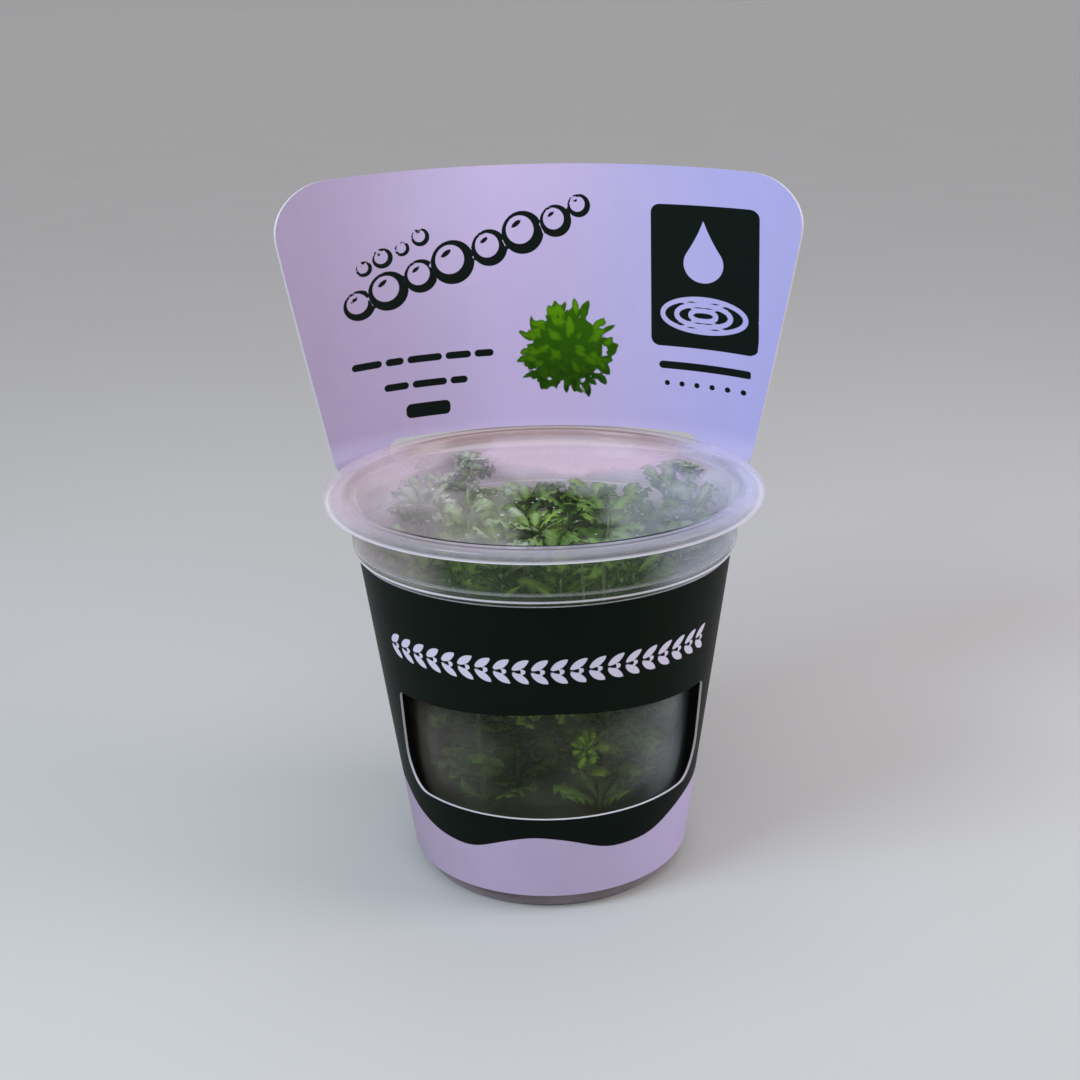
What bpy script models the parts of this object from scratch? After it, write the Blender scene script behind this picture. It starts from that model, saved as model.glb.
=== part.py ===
# Rice paddy herb: plantlets rooted in nutrient gel inside a closed growing cup with a card sleeve.
# Metres, +Z up. The origin is the middle of the cup's flat base, and the sleeve's window faces -Y.
import math

import bmesh
import bpy
from mathutils import Vector
from mathutils.bvhtree import BVHTree
from mathutils.geometry import delaunay_2d_cdt

MM = 0.001
GAP = 0.3 * MM

# Cup, clear moulded plastic
FOOT_RADIUS = 29.4 * MM
FOOT_HEIGHT = 4.0 * MM
FOOT_EDGE = 0.5 * MM
BODY_FOOT_RADIUS = 29.9 * MM
BODY_TOP_RADIUS = 36.4 * MM
BODY_TOP_HEIGHT = 76.0 * MM
NECK_RING_RADIUS = 42.7 * MM
NECK_RING_HEIGHT = 77.1 * MM
NECK_TOP_RADIUS = 43.3 * MM
NECK_TOP_HEIGHT = 83.6 * MM
MOUTH_INNER_RADIUS = 44.65 * MM
MOUTH_BEND_HEIGHT = 86.6 * MM
FLANGE_RADIUS = 47.1 * MM
FLANGE_UNDERSIDE_HEIGHT = 87.2 * MM
FLANGE_HEIGHT = 88.5 * MM
FLANGE_EDGE = 0.6 * MM
CUP_WALL = 0.8 * MM
CUP_BASE = 1.2 * MM

# Lid, clear moulded plastic with a frosted rim
RIM_RADIUS = 49.0 * MM
RIM_CREST_HEIGHT = 90.0 * MM
RIM_UNDERSIDE_HEIGHT = 87.1 * MM
PANEL_RADIUS = 43.2 * MM
PANEL_HEIGHT = 87.6 * MM
LID_WALL = 0.8 * MM

# Card sleeve with its header, one sheet
CARD_THICKNESS = 0.5 * MM
SLEEVE_BOTTOM_HEIGHT = 4.0 * MM
SLEEVE_BOTTOM_RADIUS = 31.7 * MM
SLEEVE_TOP_HEIGHT = 75.7 * MM
SLEEVE_TOP_RADIUS = 41.4 * MM
HEADER_TOP_HEIGHT = 153.1 * MM
HEADER_BEND_RADIUS = 68.0 * MM
HEADER_BACK = 45.0 * MM
HEADER_BACK_HEIGHT = 88.0 * MM
HEADER_LEAN = 0.12
HEADER_CROWN = 1.3 * MM
HEADER_HALF_ANGLE_LOW = 65.2
HEADER_HALF_ANGLE_HIGH = 75.0
SEAM_ANGLE = 100.0
SLOT_HALF_ANGLE = 47.5
SLOT_BOTTOM_HEIGHT = 85.3 * MM
SLOT_TOP_HEIGHT = 90.4 * MM
WINDOW_TOP_HEIGHT = 50.7 * MM
WINDOW_BOTTOM_HEIGHT = 24.2 * MM
WINDOW_MIDDLE_ANGLE = -182.6
WINDOW_HALF_ANGLE_HIGH = 61.2
WINDOW_HALF_ANGLE_LOW = 67.4
WINDOW_CROWN = 2.2 * MM
WINDOW_CORNER_HIGH = 2.2 * MM
WINDOW_CORNER_LOW = 8.0 * MM
HEADER_CORNER_LOW = 7.5 * MM
HEADER_CORNER_HIGH = 12.0 * MM

# Heights and angles between which the sleeve's cone runs into the header's arc
BEND_START_HEIGHT = 62.0 * MM
BEND_END_HEIGHT = 77.0 * MM
BEND_LATER_AT_SIDES = 4.0 * MM
BACK_ANGLES = (15, 45)
SIDE_ANGLES = (56, 76)
SIDE_HEIGHTS = (78.0 * MM, 85.0 * MM)

# The sheet is cut flat at these scales, so that a degree and a millimetre count alike
FLAT_DEGREE = 0.01
FLAT_METRE = 10.0
SHEET_STEP_ANGLE = 9.0
SHEET_STEP_HEIGHT = 15.0 * MM
SHEET_KEEP_OFF = 0.045

# Nutrient gel
GEL_HEIGHT = 15.0 * MM

# Plantlets
STEM_RADIUS = 0.75 * MM
COLLAR_RADIUS = 1.5 * MM
COLLAR_HEIGHT = 1.1 * MM
LEAF_THICKNESS = 0.5 * MM
LEAVES_IN_WHORL = 6
SHORTEN_BY = 0.93
SHORTEN_TRIES = 14
TURN_BY = 10
TURN_TRIES = 6

ROUND_STEPS = 36
STEM_SIDES = 6


def clear_scene():
    """Remove every object that the scene starts with."""
    for old in list(bpy.data.objects):
        bpy.data.objects.remove(old, do_unlink=True)


def material(name, colour, roughness, alpha=1.0):
    """A plain Principled material."""
    made = bpy.data.materials.new(name)
    made.use_nodes = True
    shader = made.node_tree.nodes["Principled BSDF"]
    shader.inputs["Base Color"].default_value = (*colour, 1.0)
    shader.inputs["Roughness"].default_value = roughness
    shader.inputs["Metallic"].default_value = 0.0
    shader.inputs["Alpha"].default_value = alpha
    return made


def add_object(name, mesh, finish, smooth_angle=None):
    """Put a mesh in the scene under the node's name."""
    mesh.name = name
    made = bpy.data.objects.new(name, mesh)
    bpy.context.scene.collection.objects.link(made)
    mesh.materials.append(finish)
    if smooth_angle is not None:
        mesh.shade_smooth()
        mesh.set_sharp_from_angle(angle=math.radians(smooth_angle))
    return made


def mesh_from(verts, faces):
    """A mesh from points and faces, with its faces turned outwards."""
    shape = bmesh.new()
    points = [shape.verts.new(co) for co in verts]
    for face in faces:
        shape.faces.new([points[i] for i in face])
    bmesh.ops.recalc_face_normals(shape, faces=shape.faces)
    mesh = bpy.data.meshes.new("shape")
    shape.to_mesh(mesh)
    shape.free()
    return mesh


def turned(profile):
    """Turn a closed (radius, height) outline round Z. Points at radius 0 become single poles."""
    verts = []
    rings = []
    for radius, height in profile:
        if radius < 1e-9:
            rings.append([len(verts)] * ROUND_STEPS)
            verts.append((0.0, 0.0, height))
            continue
        rings.append([len(verts) + k for k in range(ROUND_STEPS)])
        for k in range(ROUND_STEPS):
            turn = 2 * math.pi * k / ROUND_STEPS
            verts.append((radius * math.cos(turn), radius * math.sin(turn), height))
    faces = []
    for low, high in zip(rings, rings[1:] + rings[:1]):
        for k in range(ROUND_STEPS):
            corners = [low[k], low[(k + 1) % ROUND_STEPS], high[(k + 1) % ROUND_STEPS], high[k]]
            face = list(dict.fromkeys(corners))
            if len(face) > 2:
                faces.append(face)
    return mesh_from(verts, faces)


def build_cup():
    """Foot, tapered body, ledge and ring, neck, and a flange round the mouth, all one wall."""
    profile = [
        (0.0, 0.0),
        (FOOT_RADIUS - FOOT_EDGE, 0.0),
        (FOOT_RADIUS, FOOT_EDGE),
        (BODY_FOOT_RADIUS, FOOT_HEIGHT),
        (BODY_TOP_RADIUS, BODY_TOP_HEIGHT),
        (NECK_RING_RADIUS - 0.4 * MM, NECK_RING_HEIGHT - 0.8 * MM),
        (NECK_RING_RADIUS, NECK_RING_HEIGHT),
        (NECK_TOP_RADIUS, NECK_TOP_HEIGHT),
        (MOUTH_INNER_RADIUS + 0.4 * MM, MOUTH_BEND_HEIGHT),
        (FLANGE_RADIUS, FLANGE_UNDERSIDE_HEIGHT),
        (FLANGE_RADIUS, FLANGE_HEIGHT - FLANGE_EDGE),
        (FLANGE_RADIUS - FLANGE_EDGE, FLANGE_HEIGHT),
        (MOUTH_INNER_RADIUS, FLANGE_HEIGHT),
        (MOUTH_INNER_RADIUS - GAP, MOUTH_BEND_HEIGHT + GAP),
        (NECK_TOP_RADIUS - CUP_WALL, NECK_TOP_HEIGHT),
        (NECK_RING_RADIUS - CUP_WALL - 0.1 * MM, NECK_RING_HEIGHT),
        (BODY_TOP_RADIUS - CUP_WALL, BODY_TOP_HEIGHT + CUP_WALL),
        (BODY_FOOT_RADIUS - CUP_WALL, FOOT_HEIGHT),
        (BODY_FOOT_RADIUS - 2.5 * MM, CUP_BASE),
        (0.0, CUP_BASE),
    ]
    finish = material("clear_plastic", (0.78, 0.76, 0.78), 0.25, 0.35)
    return add_object("cup", turned(profile), finish, 40)


def build_lid():
    """A sunk flat panel, and a round rim that closes over the cup's flange."""
    profile = [
        (0.0, PANEL_HEIGHT),
        (PANEL_RADIUS - 0.5 * MM, PANEL_HEIGHT),
        (PANEL_RADIUS, PANEL_HEIGHT + 0.5 * MM),
        (PANEL_RADIUS + 0.5 * MM, RIM_CREST_HEIGHT - 0.6 * MM),
        (PANEL_RADIUS + 1.4 * MM, RIM_CREST_HEIGHT),
        (RIM_RADIUS - 1.8 * MM, RIM_CREST_HEIGHT),
        (RIM_RADIUS - 0.3 * MM, RIM_CREST_HEIGHT - 0.7 * MM),
        (RIM_RADIUS, RIM_CREST_HEIGHT - 1.5 * MM),
        (RIM_RADIUS - 0.7 * MM, RIM_UNDERSIDE_HEIGHT),
        (FLANGE_RADIUS + 0.4 * MM, RIM_UNDERSIDE_HEIGHT),
        (FLANGE_RADIUS + 0.5 * MM, RIM_CREST_HEIGHT - 1.8 * MM),
        (FLANGE_RADIUS - 0.6 * MM, RIM_CREST_HEIGHT - LID_WALL),
        (MOUTH_INNER_RADIUS - 0.1 * MM, RIM_CREST_HEIGHT - LID_WALL),
        (MOUTH_INNER_RADIUS - 0.7 * MM, PANEL_HEIGHT - 0.4 * MM),
        (PANEL_RADIUS + 0.1 * MM, PANEL_HEIGHT - LID_WALL),
        (0.0, PANEL_HEIGHT - LID_WALL),
    ]
    finish = material("frosted_plastic", (0.80, 0.76, 0.84), 0.4, 0.6)
    return add_object("lid", turned(profile), finish, 40)


def ease(value, low, high):
    """0 below low, 1 above high, and a smooth step between them."""
    t = min(max((value - low) / (high - low), 0.0), 1.0)
    return t * t * (3 - 2 * t)


def card_point(turn, height):
    """Where the sheet's middle lies, for an angle from the back (degrees, + is towards +X) and a height."""
    off_back = min(abs(turn), 360 - abs(turn))
    taper = (SLEEVE_TOP_RADIUS - SLEEVE_BOTTOM_RADIUS) / (SLEEVE_TOP_HEIGHT - SLEEVE_BOTTOM_HEIGHT)
    cone = SLEEVE_BOTTOM_RADIUS + taper * (height - SLEEVE_BOTTOM_HEIGHT)
    back = HEADER_BACK + HEADER_LEAN * (height - HEADER_BACK_HEIGHT)
    centre = back - HEADER_BEND_RADIUS
    side = math.radians(off_back)
    arc = centre * math.cos(side) + math.sqrt(HEADER_BEND_RADIUS**2 - (centre * math.sin(side)) ** 2)
    bend_end = BEND_END_HEIGHT + BEND_LATER_AT_SIDES * ease(off_back, *BACK_ANGLES)
    rise = ease(height, BEND_START_HEIGHT, bend_end)
    share = rise * (1 - ease(off_back, *SIDE_ANGLES) * (1 - ease(height, *SIDE_HEIGHTS)))
    radius = cone + share * (arc - cone)
    angle = math.radians(90 - turn)
    return Vector((radius * math.cos(angle), radius * math.sin(angle), height))


def rounded(corners, steps=4):
    """Round the corners of an outline. Each corner is (angle, height, radius). While an arc is
    drawn, a degree counts as the length it has on the card."""
    per_degree = 0.75 * MM
    points = []
    count = len(corners)
    for i, (turn, height, radius) in enumerate(corners):
        here = Vector((turn * per_degree, height))
        if radius == 0:
            points.append((turn, height))
            continue
        before = Vector((corners[i - 1][0] * per_degree, corners[i - 1][1])) - here
        after = Vector((corners[(i + 1) % count][0] * per_degree, corners[(i + 1) % count][1])) - here
        half = before.angle(after) / 2
        reach = radius / math.tan(half)
        centre = here + (before.normalized() + after.normalized()).normalized() * radius / math.sin(half)
        start = here + before.normalized() * reach - centre
        end = here + after.normalized() * reach - centre
        sweep = start.angle_signed(end)
        for k in range(steps + 1):
            turned_by = -sweep * k / steps
            c, s = math.cos(turned_by), math.sin(turned_by)
            spot = centre + Vector((start.x * c - start.y * s, start.x * s + start.y * c))
            points.append((spot.x / per_degree, spot.y))
    return points


def densified(points, longest_turn=SHEET_STEP_ANGLE, longest_rise=16 * MM):
    """Add points along an outline's long straight stretches, so that it bends with the sheet."""
    out = []
    for (a_turn, a_height), (b_turn, b_height) in zip(points, points[1:] + points[:1]):
        turns = abs(b_turn - a_turn) / longest_turn
        rises = abs(b_height - a_height) / longest_rise
        pieces = max(1, math.ceil(max(turns, rises) - 1e-6))
        for k in range(pieces):
            t = k / pieces
            out.append((a_turn + (b_turn - a_turn) * t, a_height + (b_height - a_height) * t))
    return out


def inside(point, outline):
    """Whether a point is inside a closed outline."""
    x, y = point
    odd = False
    for (ax, ay), (bx, by) in zip(outline, outline[1:] + outline[:1]):
        if (ay > y) != (by > y) and x < ax + (y - ay) / (by - ay) * (bx - ax):
            odd = not odd
    return odd


def sleeve_outlines():
    """The sheet's edge, its window and its slot, as (angle from the back, height).

    The sheet is cut open at one side, where the angle is SEAM_ANGLE and SEAM_ANGLE - 360."""
    low = HEADER_HALF_ANGLE_LOW
    high = HEADER_HALF_ANGLE_HIGH
    strip = [
        (low + 4, SLEEVE_TOP_HEIGHT, 2.5 * MM),
        (low - 6, SLEEVE_TOP_HEIGHT + 5 * MM, 1.5 * MM),
        (low - 1, HEADER_BACK_HEIGHT - 1.0 * MM, HEADER_CORNER_LOW),
        (high, HEADER_TOP_HEIGHT, HEADER_CORNER_HIGH),
    ]
    seam = [(SEAM_ANGLE, SLEEVE_BOTTOM_HEIGHT, 0), (SEAM_ANGLE, SLEEVE_TOP_HEIGHT, 0)]
    right = rounded(seam + strip + [(0, HEADER_TOP_HEIGHT, 0)])
    left = [(-turn, height) for turn, height in reversed(right[2:-1])]
    other_side = SEAM_ANGLE - 360
    edge = right + left + [(other_side, SLEEVE_TOP_HEIGHT), (other_side, SLEEVE_BOTTOM_HEIGHT)]
    edge = [(turn, height - crown_drop(turn, height)) for turn, height in densified(edge)]
    middle = WINDOW_MIDDLE_ANGLE
    top = WINDOW_HALF_ANGLE_HIGH
    bottom = WINDOW_HALF_ANGLE_LOW
    window = rounded([
        (middle - top, WINDOW_TOP_HEIGHT - WINDOW_CROWN, WINDOW_CORNER_HIGH),
        (middle, WINDOW_TOP_HEIGHT, 0),
        (middle + top, WINDOW_TOP_HEIGHT - WINDOW_CROWN, WINDOW_CORNER_HIGH),
        (middle + bottom, WINDOW_BOTTOM_HEIGHT, WINDOW_CORNER_LOW),
        (middle - bottom, WINDOW_BOTTOM_HEIGHT, WINDOW_CORNER_LOW),
    ])
    slot_half = (SLOT_TOP_HEIGHT - SLOT_BOTTOM_HEIGHT) / 2
    slot = rounded([
        (-SLOT_HALF_ANGLE, SLOT_BOTTOM_HEIGHT, 0.6 * slot_half),
        (SLOT_HALF_ANGLE, SLOT_BOTTOM_HEIGHT, 0.6 * slot_half),
        (SLOT_HALF_ANGLE, SLOT_TOP_HEIGHT, 0.95 * slot_half),
        (-SLOT_HALF_ANGLE, SLOT_TOP_HEIGHT, 0.95 * slot_half),
    ], steps=3)
    return edge, densified(window), densified(slot)


def crown_drop(turn, height):
    """How far the header's top edge falls towards its corners."""
    share = ease(height, HEADER_TOP_HEIGHT - 12 * MM, HEADER_TOP_HEIGHT)
    return HEADER_CROWN * (turn / HEADER_HALF_ANGLE_HIGH) ** 2 * share


def flat_spot(turn, height):
    """A spot of the sheet while it lies flat for cutting."""
    return Vector((turn * FLAT_DEGREE, height * FLAT_METRE))


def build_sleeve():
    """Cut the sheet flat, with its window and slot, then bend it round the cup."""
    edge, window, slot = sleeve_outlines()
    flat = []
    lines = []
    for outline in (edge, window, slot):
        first = len(flat)
        flat += [flat_spot(turn, height) for turn, height in outline]
        lines += [(first + k, first + (k + 1) % len(outline)) for k in range(len(outline))]
    border = [Vector(p) for p in flat]
    columns = int(360 / SHEET_STEP_ANGLE)
    rows = int((HEADER_TOP_HEIGHT - SLEEVE_BOTTOM_HEIGHT) / SHEET_STEP_HEIGHT) + 1
    for column in range(columns):
        turn = SEAM_ANGLE - SHEET_STEP_ANGLE * (column + 0.5)
        for row in range(rows):
            height = SLEEVE_BOTTOM_HEIGHT + (row + 0.5) * SHEET_STEP_HEIGHT
            spot = flat_spot(turn, height)
            here = (turn, height)
            on_card = inside(here, edge) and not inside(here, window) and not inside(here, slot)
            if on_card and min((spot - p).length for p in border) > SHEET_KEEP_OFF:
                flat.append(spot)
    points, _, triangles, _, _, _ = delaunay_2d_cdt(flat, lines, [], 0, 1e-6)
    verts = [card_point(p.x / FLAT_DEGREE, p.y / FLAT_METRE) for p in points]
    shape = bmesh.new()
    made = [shape.verts.new(co) for co in verts]
    for triangle in triangles:
        middle = sum((points[i] for i in triangle), Vector((0.0, 0.0))) / 3
        here = (middle.x / FLAT_DEGREE, middle.y / FLAT_METRE)
        if inside(here, edge) and not inside(here, window) and not inside(here, slot):
            shape.faces.new([made[i] for i in triangle])
    bmesh.ops.delete(shape, geom=[v for v in shape.verts if not v.link_faces], context="VERTS")
    bmesh.ops.remove_doubles(shape, verts=shape.verts, dist=0.01 * MM)
    bmesh.ops.recalc_face_normals(shape, faces=shape.faces)
    mesh = bpy.data.meshes.new("shape")
    shape.to_mesh(mesh)
    shape.free()
    finish = material("printed_card", (0.62, 0.55, 0.72), 0.45)
    card = add_object("card_sleeve", mesh, finish, 30)
    wall = card.modifiers.new("Thickness", "SOLIDIFY")
    wall.thickness = CARD_THICKNESS
    wall.offset = 0.0
    wall.use_even_offset = True
    return card


def body_inner_radius(height):
    """The cup's inner radius at a height, below the neck."""
    share = (height - FOOT_HEIGHT) / (BODY_TOP_HEIGHT - FOOT_HEIGHT)
    return BODY_FOOT_RADIUS + (BODY_TOP_RADIUS - BODY_FOOT_RADIUS) * share - CUP_WALL


def build_gel():
    """A disc of set gel that fills the bottom of the cup."""
    profile = [
        (0.0, CUP_BASE + GAP),
        (BODY_FOOT_RADIUS - 3.2 * MM, CUP_BASE + GAP),
        (body_inner_radius(FOOT_HEIGHT + 0.5 * MM) - GAP, FOOT_HEIGHT + 0.5 * MM),
        (body_inner_radius(GEL_HEIGHT) - GAP, GEL_HEIGHT),
        (0.0, GEL_HEIGHT),
    ]
    finish = material("nutrient_gel", (0.55, 0.52, 0.42), 0.15)
    return add_object("nutrient_gel", turned(profile), finish, 40)


def stem_point(plant, t):
    """A point of a stem's middle line, from the gel at t = 0 to the tip at t = 1."""
    base = Vector(plant["base"]).to_3d()
    base.z = GEL_HEIGHT + GAP
    tip = Vector(plant["tip"])
    bow = Vector(plant["bow"]).to_3d()
    return base.lerp(tip, t) + bow * math.sin(math.pi * t)


def frame_at(plant, t):
    """A stem's direction, and two directions across it."""
    along = (stem_point(plant, t + 0.01) - stem_point(plant, t - 0.01)).normalized()
    across = along.orthogonal().normalized()
    return along, across, along.cross(across)


def build_stem(name, plant, finish):
    """A slender round stem that thins towards its tip."""
    steps = 5
    verts = []
    faces = []
    for k in range(steps + 1):
        t = k / steps
        centre = stem_point(plant, t)
        _, across, up = frame_at(plant, t)
        radius = STEM_RADIUS * (1 - 0.35 * t)
        for side in range(STEM_SIDES):
            turn = 2 * math.pi * side / STEM_SIDES
            verts.append(centre + radius * (math.cos(turn) * across + math.sin(turn) * up))
    for k in range(steps):
        for side in range(STEM_SIDES):
            a = k * STEM_SIDES + side
            b = k * STEM_SIDES + (side + 1) % STEM_SIDES
            faces.append((a, b, b + STEM_SIDES, a + STEM_SIDES))
    faces.append(tuple(range(STEM_SIDES)))
    last = steps * STEM_SIDES
    faces.append(tuple(last + side for side in range(STEM_SIDES)))
    return add_object(name, mesh_from(verts, faces), finish, 50)


# A leaf's outline from its base: share of its length, and half width as a share of its length.
LEAF_SECTIONS = ((0.28, 0.05), (0.55, 0.20), (0.70, 0.11), (0.97, 0.19))


def whorl_shape(plant, t, length, lift, spin):
    """A ring of lobed leaves whose bases meet in a collar round the stem."""
    centre = stem_point(plant, t)
    along, across, up = frame_at(plant, t)
    verts = []
    faces = []
    count = LEAVES_IN_WHORL

    def out_at(turn):
        return math.cos(turn) * across + math.sin(turn) * up

    for radius in (STEM_RADIUS + GAP, COLLAR_RADIUS):
        for level in (-0.5, 0.5):
            for k in range(count):
                turn = spin + 2 * math.pi * k / count
                spread = radius / math.cos(math.pi / count)
                verts.append(centre + spread * out_at(turn) + level * COLLAR_HEIGHT * along)
    for k in range(count):
        n = (k + 1) % count
        faces.append((k, n, count + n, count + k))
        faces.append((k, n, 2 * count + n, 2 * count + k))
        faces.append((count + k, count + n, 3 * count + n, 3 * count + k))
    for k in range(count):
        n = (k + 1) % count
        turn = spin + 2 * math.pi * (k + 0.5) / count
        out = out_at(turn)
        side = along.cross(out)
        ring = [2 * count + k, 2 * count + n, 3 * count + n, 3 * count + k]
        for share, half_width in LEAF_SECTIONS:
            climb = lift * share * (1 - 0.28 * share)
            reach = COLLAR_RADIUS + length * share * (1 - 0.15 * lift)
            middle = centre + reach * out + length * climb * along
            first = len(verts)
            for across_by, thick in ((-1, -1), (1, -1), (1, 1), (-1, 1)):
                width = across_by * half_width * length
                verts.append(middle + width * side + thick * LEAF_THICKNESS / 2 * along)
            new = [first, first + 1, first + 2, first + 3]
            for j in range(4):
                m = (j + 1) % 4
                faces.append((ring[j], ring[m], new[m], new[j]))
            ring = new
        faces.append(tuple(ring))
    return verts, faces


def fits_in_cup(verts):
    """Whether every point stays clear of the cup's wall, the lid and the gel."""
    for co in verts:
        if co.z < GEL_HEIGHT + GAP or co.z > PANEL_HEIGHT - LID_WALL - GAP:
            return False
        limit = body_inner_radius(min(co.z, BODY_TOP_HEIGHT))
        if co.z > NECK_RING_HEIGHT + 0.5 * MM:
            limit = NECK_RING_RADIUS - CUP_WALL
        if math.hypot(co.x, co.y) > limit - 2 * GAP:
            return False
    return True


def place_whorl(plant, t, length, lift, standing):
    """Turn a whorl, and shorten it where it must be, until it is clear of all that stands."""
    for shorten in range(SHORTEN_TRIES):
        size = length * SHORTEN_BY**shorten
        for turn in range(TURN_TRIES):
            spin = math.radians(TURN_BY * turn)
            verts, faces = whorl_shape(plant, t, size, lift, spin)
            if not fits_in_cup(verts):
                continue
            tree = BVHTree.FromPolygons(verts, faces)
            if not any(tree.overlap(other) for other in standing):
                return verts, faces, tree
    return None


# Each plantlet: where it leaves the gel, its tip, how its stem bows, and where its whorls sit as
# (share of the stem, leaf length, lift of the leaves).
PLANTS = [
    {"base": (3, -1), "tip": (6, 8, 82.5), "bow": (-2, 2),
     "whorls": ((0.30, 13, 0.5), (0.55, 13, 0.55), (0.78, 12, 0.6), (0.955, 8, 0.75))},
    {"base": (-13, 11), "tip": (-18, 22, 82), "bow": (-1, -3),
     "whorls": ((0.48, 12, 0.5), (0.94, 10, 0.6))},
    {"base": (-8, -3), "tip": (-9, 6, 79), "bow": (2, 3),
     "whorls": ((0.42, 11, 0.5), (0.70, 11, 0.6), (0.95, 9, 0.8))},
    {"base": (18, 9), "tip": (31, 19, 84), "bow": (-3, -2),
     "whorls": ((0.50, 12, 0.5), (0.95, 9, 0.4))},
    {"base": (-15, -14), "tip": (-17, -18, 76), "bow": (0, 2),
     "whorls": ((0.25, 11, 0.4), (0.58, 12, 0.5), (0.93, 11, 0.6))},
    {"base": (11, -15), "tip": (9, -19, 75), "bow": (3, 2),
     "whorls": ((0.30, 12, 0.4), (0.62, 12, 0.5), (0.94, 12, 0.6))},
    {"base": (2, 18), "tip": (8, 24, 72), "bow": (2, 0),
     "whorls": ((0.45, 11, 0.5), (0.92, 10, 0.6))},
    {"base": (22, -5), "tip": (24, -7, 70), "bow": (-1, -2),
     "whorls": ((0.45, 9, 0.5), (0.92, 10, 0.6))},
]


def in_metres(plant):
    """The same plantlet with its lengths turned from millimetres to metres."""
    return {
        "base": tuple(v * MM for v in plant["base"]),
        "tip": tuple(v * MM for v in plant["tip"]),
        "bow": tuple(v * MM for v in plant["bow"]),
        "whorls": tuple((t, length * MM, lift) for t, length, lift in plant["whorls"]),
    }


def build_plants():
    """Eight plantlets: first all the stems, then the whorls, from the highest down."""
    stem_finish = material("stem_green", (0.32, 0.42, 0.16), 0.5)
    leaf_finish = material("leaf_green", (0.12, 0.26, 0.04), 0.5)
    plants = [in_metres(plant) for plant in PLANTS]
    standing = []
    for number, plant in enumerate(plants, 1):
        stem = build_stem(f"stem_{number}", plant, stem_finish)
        corners = [v.co for v in stem.data.vertices]
        sides = [tuple(p.vertices) for p in stem.data.polygons]
        standing.append(BVHTree.FromPolygons(corners, sides))
    jobs = []
    for number, plant in enumerate(plants, 1):
        for level, (t, length, lift) in enumerate(plant["whorls"], 1):
            jobs.append((stem_point(plant, t).z, number, level, t, length, lift))
    for _, number, level, t, length, lift in sorted(jobs, reverse=True):
        placed = place_whorl(plants[number - 1], t, length, lift, standing)
        if placed is None:
            continue
        verts, faces, tree = placed
        standing.append(tree)
        add_object(f"leaves_{number}_{level}", mesh_from(verts, faces), leaf_finish)


clear_scene()
build_cup()
build_lid()
build_sleeve()
build_gel()
build_plants()
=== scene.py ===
import math

import bmesh
import bpy
import numpy as np
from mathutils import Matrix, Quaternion
from mathutils.geometry import delaunay_2d_cdt


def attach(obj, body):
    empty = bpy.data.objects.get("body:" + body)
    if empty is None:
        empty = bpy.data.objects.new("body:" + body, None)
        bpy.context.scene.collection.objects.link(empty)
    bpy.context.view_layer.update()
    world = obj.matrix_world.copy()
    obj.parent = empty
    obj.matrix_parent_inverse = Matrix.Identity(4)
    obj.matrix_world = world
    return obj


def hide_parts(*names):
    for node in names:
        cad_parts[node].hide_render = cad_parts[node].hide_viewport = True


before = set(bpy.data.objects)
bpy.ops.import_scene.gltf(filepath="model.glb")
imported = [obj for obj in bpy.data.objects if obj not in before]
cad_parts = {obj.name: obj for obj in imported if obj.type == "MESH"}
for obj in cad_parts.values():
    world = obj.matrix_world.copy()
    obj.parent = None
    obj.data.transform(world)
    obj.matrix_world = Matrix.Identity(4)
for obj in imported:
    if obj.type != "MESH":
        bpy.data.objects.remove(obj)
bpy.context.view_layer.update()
MM = 0.001

# Table, light and camera
# A pale matt table top under soft studio light: a bright sky in front and one overhead, a cool
# lamp at the upper left and a weak warm one at the right. The camera looks down at the cup's front.
CAMERA_PLACE = (0.0, -0.343, 0.19289)
CAMERA_PITCH = 0.329
CAMERA_ROLL = 0.0201
CAMERA_LENS = 53.87
CAMERA_SHIFT = 0.00457
LAMPS_AIM_AT = (0.0, 0.0, 0.06)
AIR_TINT = (0.82, 0.82, 0.84, 1.0)
AIR_STRENGTH = 0.42


def faces_of_grid(rows, columns, round_columns=True):
    """Four-cornered faces between neighbouring points of a grid whose points are numbered row by
    row. With round_columns the last column joins the first."""
    row = np.arange(rows - 1)[:, None] * columns
    column = np.arange(columns if round_columns else columns - 1)[None, :]
    beside = (column + 1) % columns
    corners = [row + column, row + beside, row + columns + beside, row + columns + column]
    return np.stack(corners, axis=-1).reshape(-1, 4)


def put_in_scene(name, points, faces, material, merge=0.0, **carried):
    """One object at the origin from a table of points and a table of faces. Points nearer than
    merge become one, which closes seams and poles. Each carried number stands at every point."""
    mesh = bpy.data.meshes.new(name)
    mesh.from_pydata(np.asarray(points).reshape(-1, 3), [], np.asarray(faces).tolist())
    for label, values in carried.items():
        layer = mesh.attributes.new(label, "FLOAT", "POINT").data
        layer.foreach_set("value", np.asarray(values, dtype=np.float32).ravel())
    if merge:
        shape = bmesh.new()
        shape.from_mesh(mesh)
        bmesh.ops.remove_doubles(shape, verts=shape.verts, dist=merge)
        bmesh.ops.recalc_face_normals(shape, faces=shape.faces)
        shape.to_mesh(mesh)
        shape.free()
    mesh.shade_smooth()
    mesh.materials.append(material)
    piece = bpy.data.objects.new(name, mesh)
    bpy.context.scene.collection.objects.link(piece)
    return piece


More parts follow.
